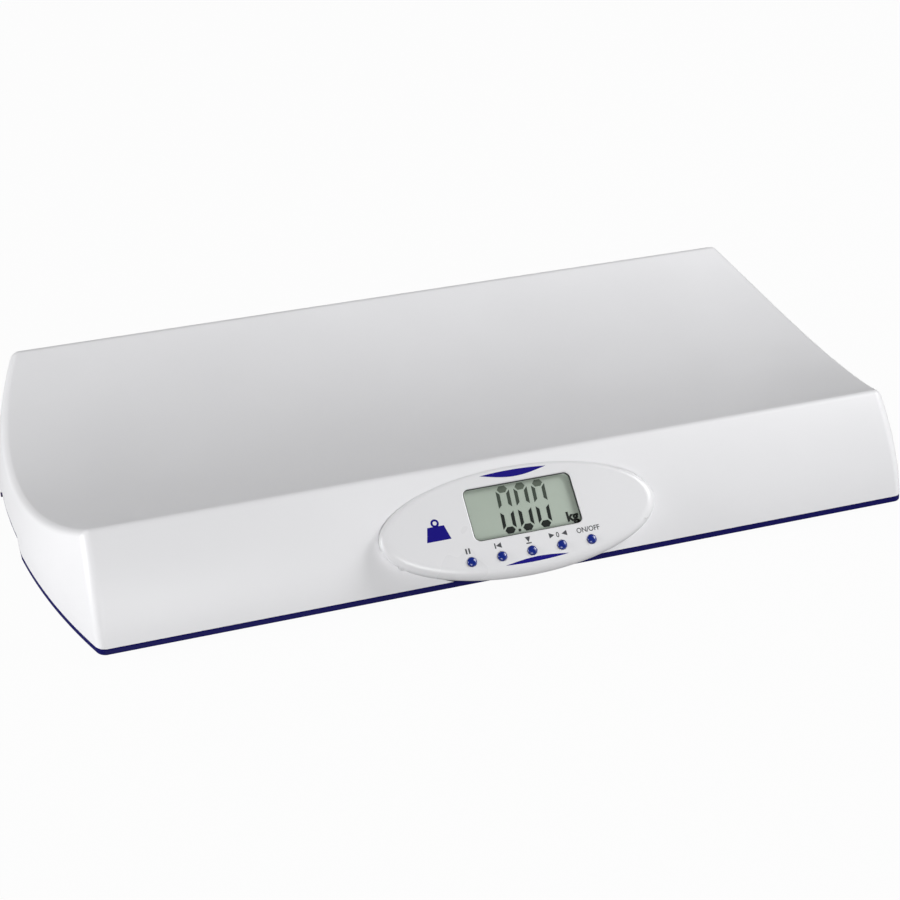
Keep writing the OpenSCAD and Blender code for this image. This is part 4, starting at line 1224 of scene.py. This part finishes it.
@dataclass
class Marks:
    """Pad-printed marks on the pod's face: plain signs over the keys, a weight sign at the left
    and two slim navy trims along the oval's edge.

    The badge's inner measures are shares of its height, apart from its top's width, which is a
    share of its foot's. A trim has its angle, its spread, its inset and its width.
    """

    pod: DisplayPod
    sign_h: float = 3.6
    line_w: float = 0.8
    pause_w: float = 1.0
    stop_left: float = 2.0
    sign_nudge: float = 0.3
    arrows_out: float = 4.2
    text_size: float = 4.8
    text_bold: float = 0.07
    text_stretch: float = 0.9
    nought_left: float = 1.4
    words_left: float = 7.6
    badge_at: Pair = (-57.0, -41.0)
    badge_w: float = 16.0
    badge_h: float = 13.5
    badge_top_share: float = 0.68
    badge_rise: float = 0.2
    ring_rise: float = 0.36
    ring_r: float = 0.2
    ring_hole_r: float = 0.1
    back_trim: tuple[float, ...] = (88.0, 15.0, 3.9, 4.6)
    front_trim: tuple[float, ...] = (272.0, 15.0, 6.4, 3.0)
    trim_steps: int = 49

    @property
    def level(self) -> float:
        """Level of the pod's face."""
        return -self.pod.skin_step

    def at_key(self, k: int) -> Pair:
        """Where the sign of a key stands, a little above and left of it."""
        return self.pod.key_x(k) + self.pod.legend_left, -self.pod.key_drop + self.pod.legend_rise

    def strip(self, x: float, y: float, w: float, h: float) -> Shape:
        """Upright rectangle around a point."""
        corners = [(x + i * w / 2, y + j * h / 2) for i, j in ((-1, -1), (1, -1), (1, 1), (-1, 1))]
        return self.pod.plate(corners, self.level)

    def arrow(self, x: float, y: float, wx: int, wy: int) -> Shape:
        """Triangle around a point that points along a way."""
        s = self.sign_h / 2
        tips = [(x + s * wx, y + s * wy), (x - s * (wx + wy), y - s * (wy - wx)),
                (x - s * (wx - wy), y - s * (wy + wx))]
        return self.pod.plate(tips, self.level)

    def signs(self) -> Shape:
        """Signs of the first four keys: pause, back to start, store, and set to nought."""
        height, nudge, out = self.sign_h, self.sign_nudge, self.arrows_out
        (x0, y0), (x1, y1), (x2, y2), (x3, y3) = (self.at_key(k) for k in range(4))
        return together([
            self.strip(x0 - self.pause_w, y0, self.pause_w, height),
            self.strip(x0 + self.pause_w, y0, self.pause_w, height),
            self.arrow(x1 + nudge, y1, -1, 0), self.strip(x1 - self.stop_left, y1, self.line_w, height),
            self.arrow(x2, y2 + nudge, 0, -1), self.strip(x2, y2 - height / 2 - nudge, height, self.line_w),
            self.arrow(x3 - out, y3, 1, 0), self.arrow(x3 + out, y3, -1, 0)])

    def badge(self) -> Shape:
        """Weight sign: a trapezium under a ring."""
        (x, y), w, h = self.badge_at, self.badge_w / 2, self.badge_h
        top_w, low, top = self.badge_top_share * w, y - h / 2, y + h * self.badge_rise
        body = self.pod.plate([(x - w, low), (x + w, low), (x + top_w, top), (x - top_w, top)], self.level)
        middle = np.array([x, y + h * self.ring_rise])
        outer, inner = (middle + h * share * unit_circle(RING_ROUND)
                        for share in (self.ring_r, self.ring_hole_r))
        eye = ring(outer, inner, self.level, self.level + self.pod.ink_t)
        return body + self.pod.shop.place.on_panel(eye)

    def trim(self, middle: float, spread: float, inset: float, width: float) -> Shape:
        """Slim crescent along the oval's edge.

        Args:
            middle: Angle in degrees where it is widest.
            spread: Angle from there to each tip.
            inset: How far its outer line lies inside the oval.
            width: Its largest width.

        Returns:
            The crescent, which narrows as a cosine.
        """
        pod = self.pod
        angle = np.radians(np.linspace(middle - spread, middle + spread, self.trim_steps))
        taper = np.cos(np.linspace(-math.pi / 2, math.pi / 2, self.trim_steps))
        a, b = pod.half_w - pod.edge_stretch * inset, pod.half_d - inset
        centre = np.array([pod.shift[0], pod.shift[1] - pod.drop])
        outer = np.column_stack([a * np.cos(angle), b * np.sin(angle)])
        inner = outer * np.column_stack([np.ones_like(taper), 1 - width * taper / b])
        return pod.plate(np.concatenate([outer, inner[-2:0:-1]]) + centre, self.level)

    def build(self) -> None:
        """All printed marks."""
        pod, shop = self.pod, self.pod.shop
        shop.finish(make_piece("key_signs", self.signs()), "legend_grey", "white_abs_gloss")
        navy = together([self.badge(), self.trim(*self.back_trim), self.trim(*self.front_trim)])
        shop.finish(make_piece("navy_marks", navy), "mark_navy", "white_abs_gloss")
        for name, words, k, left in (("nought_sign", "0", 3, self.nought_left),
                                     ("power_words", "ON/OFF", 4, self.words_left)):
            x, y = self.at_key(k)
            text = pod.lettering(name, words, self.text_size, (x - left, y - self.sign_h / 2), self.level,
                                 self.text_bold, self.text_stretch)
            shop.finish(text, "legend_grey", "white_abs_gloss")


# ---------------------------------------------------------------- keys and feet


@dataclass
class Keys:
    """The five keys: domed caps with a flange and a stem below the panel."""

    pod: DisplayPod
    cap_r: float = 3.0
    top: float = 1.6
    shoulder: float = 0.3
    dome_power: float = 2.4
    dome_steps: int = 18
    flange_r: float = 3.9
    flange_top: float = -2.5
    flange_t: float = 1.2
    stem_r: float = 1.5
    stem_low: float = -7.7

    def profile(self) -> list[Pair]:
        """Radius and level along a key: stem, flange, skirt and a dome that falls faster towards
        its rim than a sphere."""
        share = np.sin(np.linspace(0, math.pi / 2, self.dome_steps))[:0:-1]
        rise = self.top - self.shoulder
        dome = [(self.cap_r * r, self.shoulder + rise * (1 - r ** self.dome_power) ** 0.5) for r in share]
        flange_low = self.flange_top - self.flange_t
        return [(0.0, self.stem_low), (self.stem_r, self.stem_low), (self.stem_r, flange_low),
                (self.flange_r, flange_low), (self.flange_r, self.flange_top), (self.cap_r, self.flange_top),
                *dome, (0.0, self.top)]

    def build(self) -> None:
        """One piece for each key, on its own body."""
        pod, shape = self.pod, turned(self.profile(), SMALL_ROUND)
        for k, name in enumerate(KEY_NAMES):
            cap = make_piece(f"cap_{name}", pod.shop.place.on_panel(shape, pod.key_x(k), -pod.key_drop))
            pod.shop.finish(cap, "key_blue", "key_blue", f"{name}_body", [name], crease=40)


@dataclass
class Feet:
    """The four feet: a disc on a neck and a ribbed rubber pad."""

    shop: Workshop
    edge_r: float = 0.8
    edge_steps: int = 5
    disc_low: float = 2.0
    disc_top: float = 5.0
    seat_r: float = 13.1
    seat_level: float = 2.8
    neck_r: float = 5.0
    neck_top: float = 9.6
    stub_r: float = 2.95
    stub_top: float = 13.0
    pad_top: float = 2.79
    grooves_r: Pair = (5.0, 9.0)
    groove_half_w: float = 0.6
    groove_depth: float = 0.5

    def build(self) -> None:
        """Disc and pad of each foot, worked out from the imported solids' boxes."""
        kinds = (("foot", "foot_disc", "navy_abs", self.disc_profile),
                 ("foot_pad", "foot_rubber", "pad_rubber", self.pad_profile))
        for corner in CORNER_NAMES:
            for node, name, finish, profile in kinds:
                low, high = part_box(f"{node}_{corner}")
                centre = (low + high) / 2
                shape = turned(profile((high.x - low.x) / 2 / MM))
                shape.points = shape.points * MM + np.array([centre.x, centre.y, 0.0])
                made = make_piece(f"{name}_{corner}", shape)
                self.shop.finish(made, finish, finish, stands_for=[f"{node}_{corner}"])

    def round_edge(self, radius: float, low: float) -> list[Pair]:
        """Quarter circle from a face's lower side up to the outer wall."""
        e = self.edge_r
        return arc_points(np.array([radius - e, low + e]), e, -math.pi / 2, 0, self.edge_steps).tolist()

    def disc_profile(self, radius: float) -> list[Pair]:
        """Disc with rounded edges, neck and locating stub, above the table."""
        e = self.edge_r
        centre = np.array([radius - e, self.disc_top - e])
        upper = arc_points(centre, e, 0, math.pi / 2, self.edge_steps).tolist()
        return [(0.0, self.seat_level), (self.seat_r, self.seat_level), (self.seat_r, self.disc_low),
                *self.round_edge(radius, self.disc_low), *upper, (self.neck_r, self.disc_top),
                (self.neck_r, self.neck_top), (self.stub_r, self.neck_top), (self.stub_r, self.stub_top),
                (0.0, self.stub_top)]

    def pad_profile(self, radius: float) -> list[Pair]:
        """Pad with two ring grooves in its lower face and a rounded edge."""
        half, depth = self.groove_half_w, self.groove_depth
        grooves = []
        for middle in self.grooves_r:
            near, far = middle - half, middle + half
            grooves += [(near, 0.0), (near, depth), (far, depth), (far, 0.0)]
        return [(0.0, 0.0), *grooves, *self.round_edge(radius, 0.0), (radius, self.pad_top),
                (0.0, self.pad_top)]


def dress_cad_nodes(shop: Workshop) -> None:
    """Gives every CAD node the finish of its slot; the hidden ones wear it too."""
    for part in frame["record"]["subparts"]:
        shop.shelf.dress(frame["nodes"][part["node"]], part["material_slot"])
    log.info("%d CAD nodes dressed", len(frame["nodes"]))


# ---------------------------------------------------------------- studio


@dataclass(frozen=True)
class Lamp:
    """Soft box: where it hangs, its power in watts, what it faces and its size in metres."""

    name: str
    at: Triple
    power: float
    towards: Triple = (0.0, 0.0, 0.04)
    size: Pair = (1.2, 1.0)

    def build(self) -> None:
        """Adds the lamp, turned towards its target."""
        data = bpy.data.lights.new(self.name, "AREA")
        data.shape = "RECTANGLE"
        data.size, data.size_y = self.size
        data.energy = self.power
        lamp = add_object(self.name, data)
        lamp.location = self.at
        lamp.rotation_euler = (Vector(self.towards) - Vector(self.at)).to_track_quat("-Z", "Y").to_euler()


@dataclass(frozen=True)
class Studio:
    """Camera, pale floor, even surroundings and soft boxes."""

    camera_at: Triple = (-0.42662, -1.15934, 0.7286)
    camera_yaw: float = 19.172
    camera_pitch: float = 29.966
    focal_mm: float = 82.52
    picture_shift: Pair = (0.0429, -0.0023)
    sensor_mm: float = 36.0
    clip_end: float = 50.0
    floor_size: float = 60.0
    floor_colour: str = "#A4A4A4"
    floor_white_share: float = 0.97
    surround: float = 0.032
    lamps: tuple[Lamp, ...] = (
        Lamp("left_box", (-2.215, 0.272, 0.556), 41.5),
        Lamp("front_box", (-0.464, -2.183, 0.556), 24.0),
        Lamp("right_box", (2.023, -0.943, 0.556), 5.0),
        Lamp("high_right_box", (1.683, -0.297, 1.539), 35.5),
    )

    def build_camera(self) -> None:
        """Camera at the photograph's viewing angle, for a square picture."""
        data = bpy.data.cameras.new("photo_camera")
        data.sensor_fit = "HORIZONTAL"
        data.sensor_width = self.sensor_mm
        data.lens = self.focal_mm
        data.shift_x, data.shift_y = self.picture_shift
        data.clip_end = self.clip_end
        camera = add_object("photo_camera", data)
        camera.location = self.camera_at
        camera.rotation_euler = (math.radians(90 - self.camera_pitch), 0.0, -math.radians(self.camera_yaw))
        bpy.context.scene.camera = camera

    def direct_look(self, tree: Tree) -> Socket:
        """Socket that is 1 where the camera sees a thing straight or through glass."""
        rays = add_node(tree, "ShaderNodeLightPath").outputs
        links = {0: rays["Is Camera Ray"], 1: rays["Is Transmission Ray"]}
        return add_node(tree, "ShaderNodeMath", links, operation="MAXIMUM").outputs[0]

    def build_floor(self) -> None:
        """Pale floor at table level that looks white but keeps the scale's soft shadow."""
        half = self.floor_size / 2
        corners = [(-half, -half, 0.0), (half, -half, 0.0), (half, half, 0.0), (-half, half, 0.0)]
        mesh = bpy.data.meshes.new("table_top")
        mesh.from_pydata(corners, [], [(0, 1, 2, 3)])
        floor = add_object("table_top", mesh)
        made, tree, surface = empty_material("table_paper")
        paper = add_node(tree, "ShaderNodeBsdfDiffuse", None, {"Color": linear_colour(self.floor_colour)})
        white = add_node(tree, "ShaderNodeEmission", None, {"Strength": 1.0})
        share = ranged(tree, self.direct_look(tree), 0.0, self.floor_white_share)
        mixed(tree, surface, share, paper, white)
        mesh.materials.append(made)

    def build_world(self) -> None:
        """Even surroundings: dim as a light, white to a direct look."""
        world = bpy.data.worlds.new("studio_surround")
        bpy.context.scene.world = world
        world.use_nodes = True
        tree = world.node_tree
        tree.nodes.clear()
        strength = ranged(tree, self.direct_look(tree), self.surround, 1.0)
        glow = add_node(tree, "ShaderNodeBackground", {"Strength": strength}, {"Color": (1.0, 1.0, 1.0, 1.0)})
        add_node(tree, "ShaderNodeOutputWorld", {"Surface": glow.outputs["Background"]})

    def build(self) -> None:
        """The whole studio."""
        bpy.context.scene.view_settings.view_transform = "Standard"
        self.build_camera()
        self.build_floor()
        self.build_world()
        for lamp in self.lamps:
            lamp.build()


def main() -> None:
    """Builds the studio and every sub-assembly in order."""
    logging.basicConfig(level=logging.INFO, format="%(message)s")
    Studio().build()
    shop = Workshop()
    dress_cad_nodes(shop)
    housing = Housing(shop)
    housing.build_upper()
    housing.build_base()
    pod = DisplayPod(shop)
    pod.build_shell()
    pod.build_shade_lining()
    Digits(pod).build()
    Marks(pod).build()
    Keys(pod).build()
    Feet(shop).build()


if __name__ == "__main__":
    main()
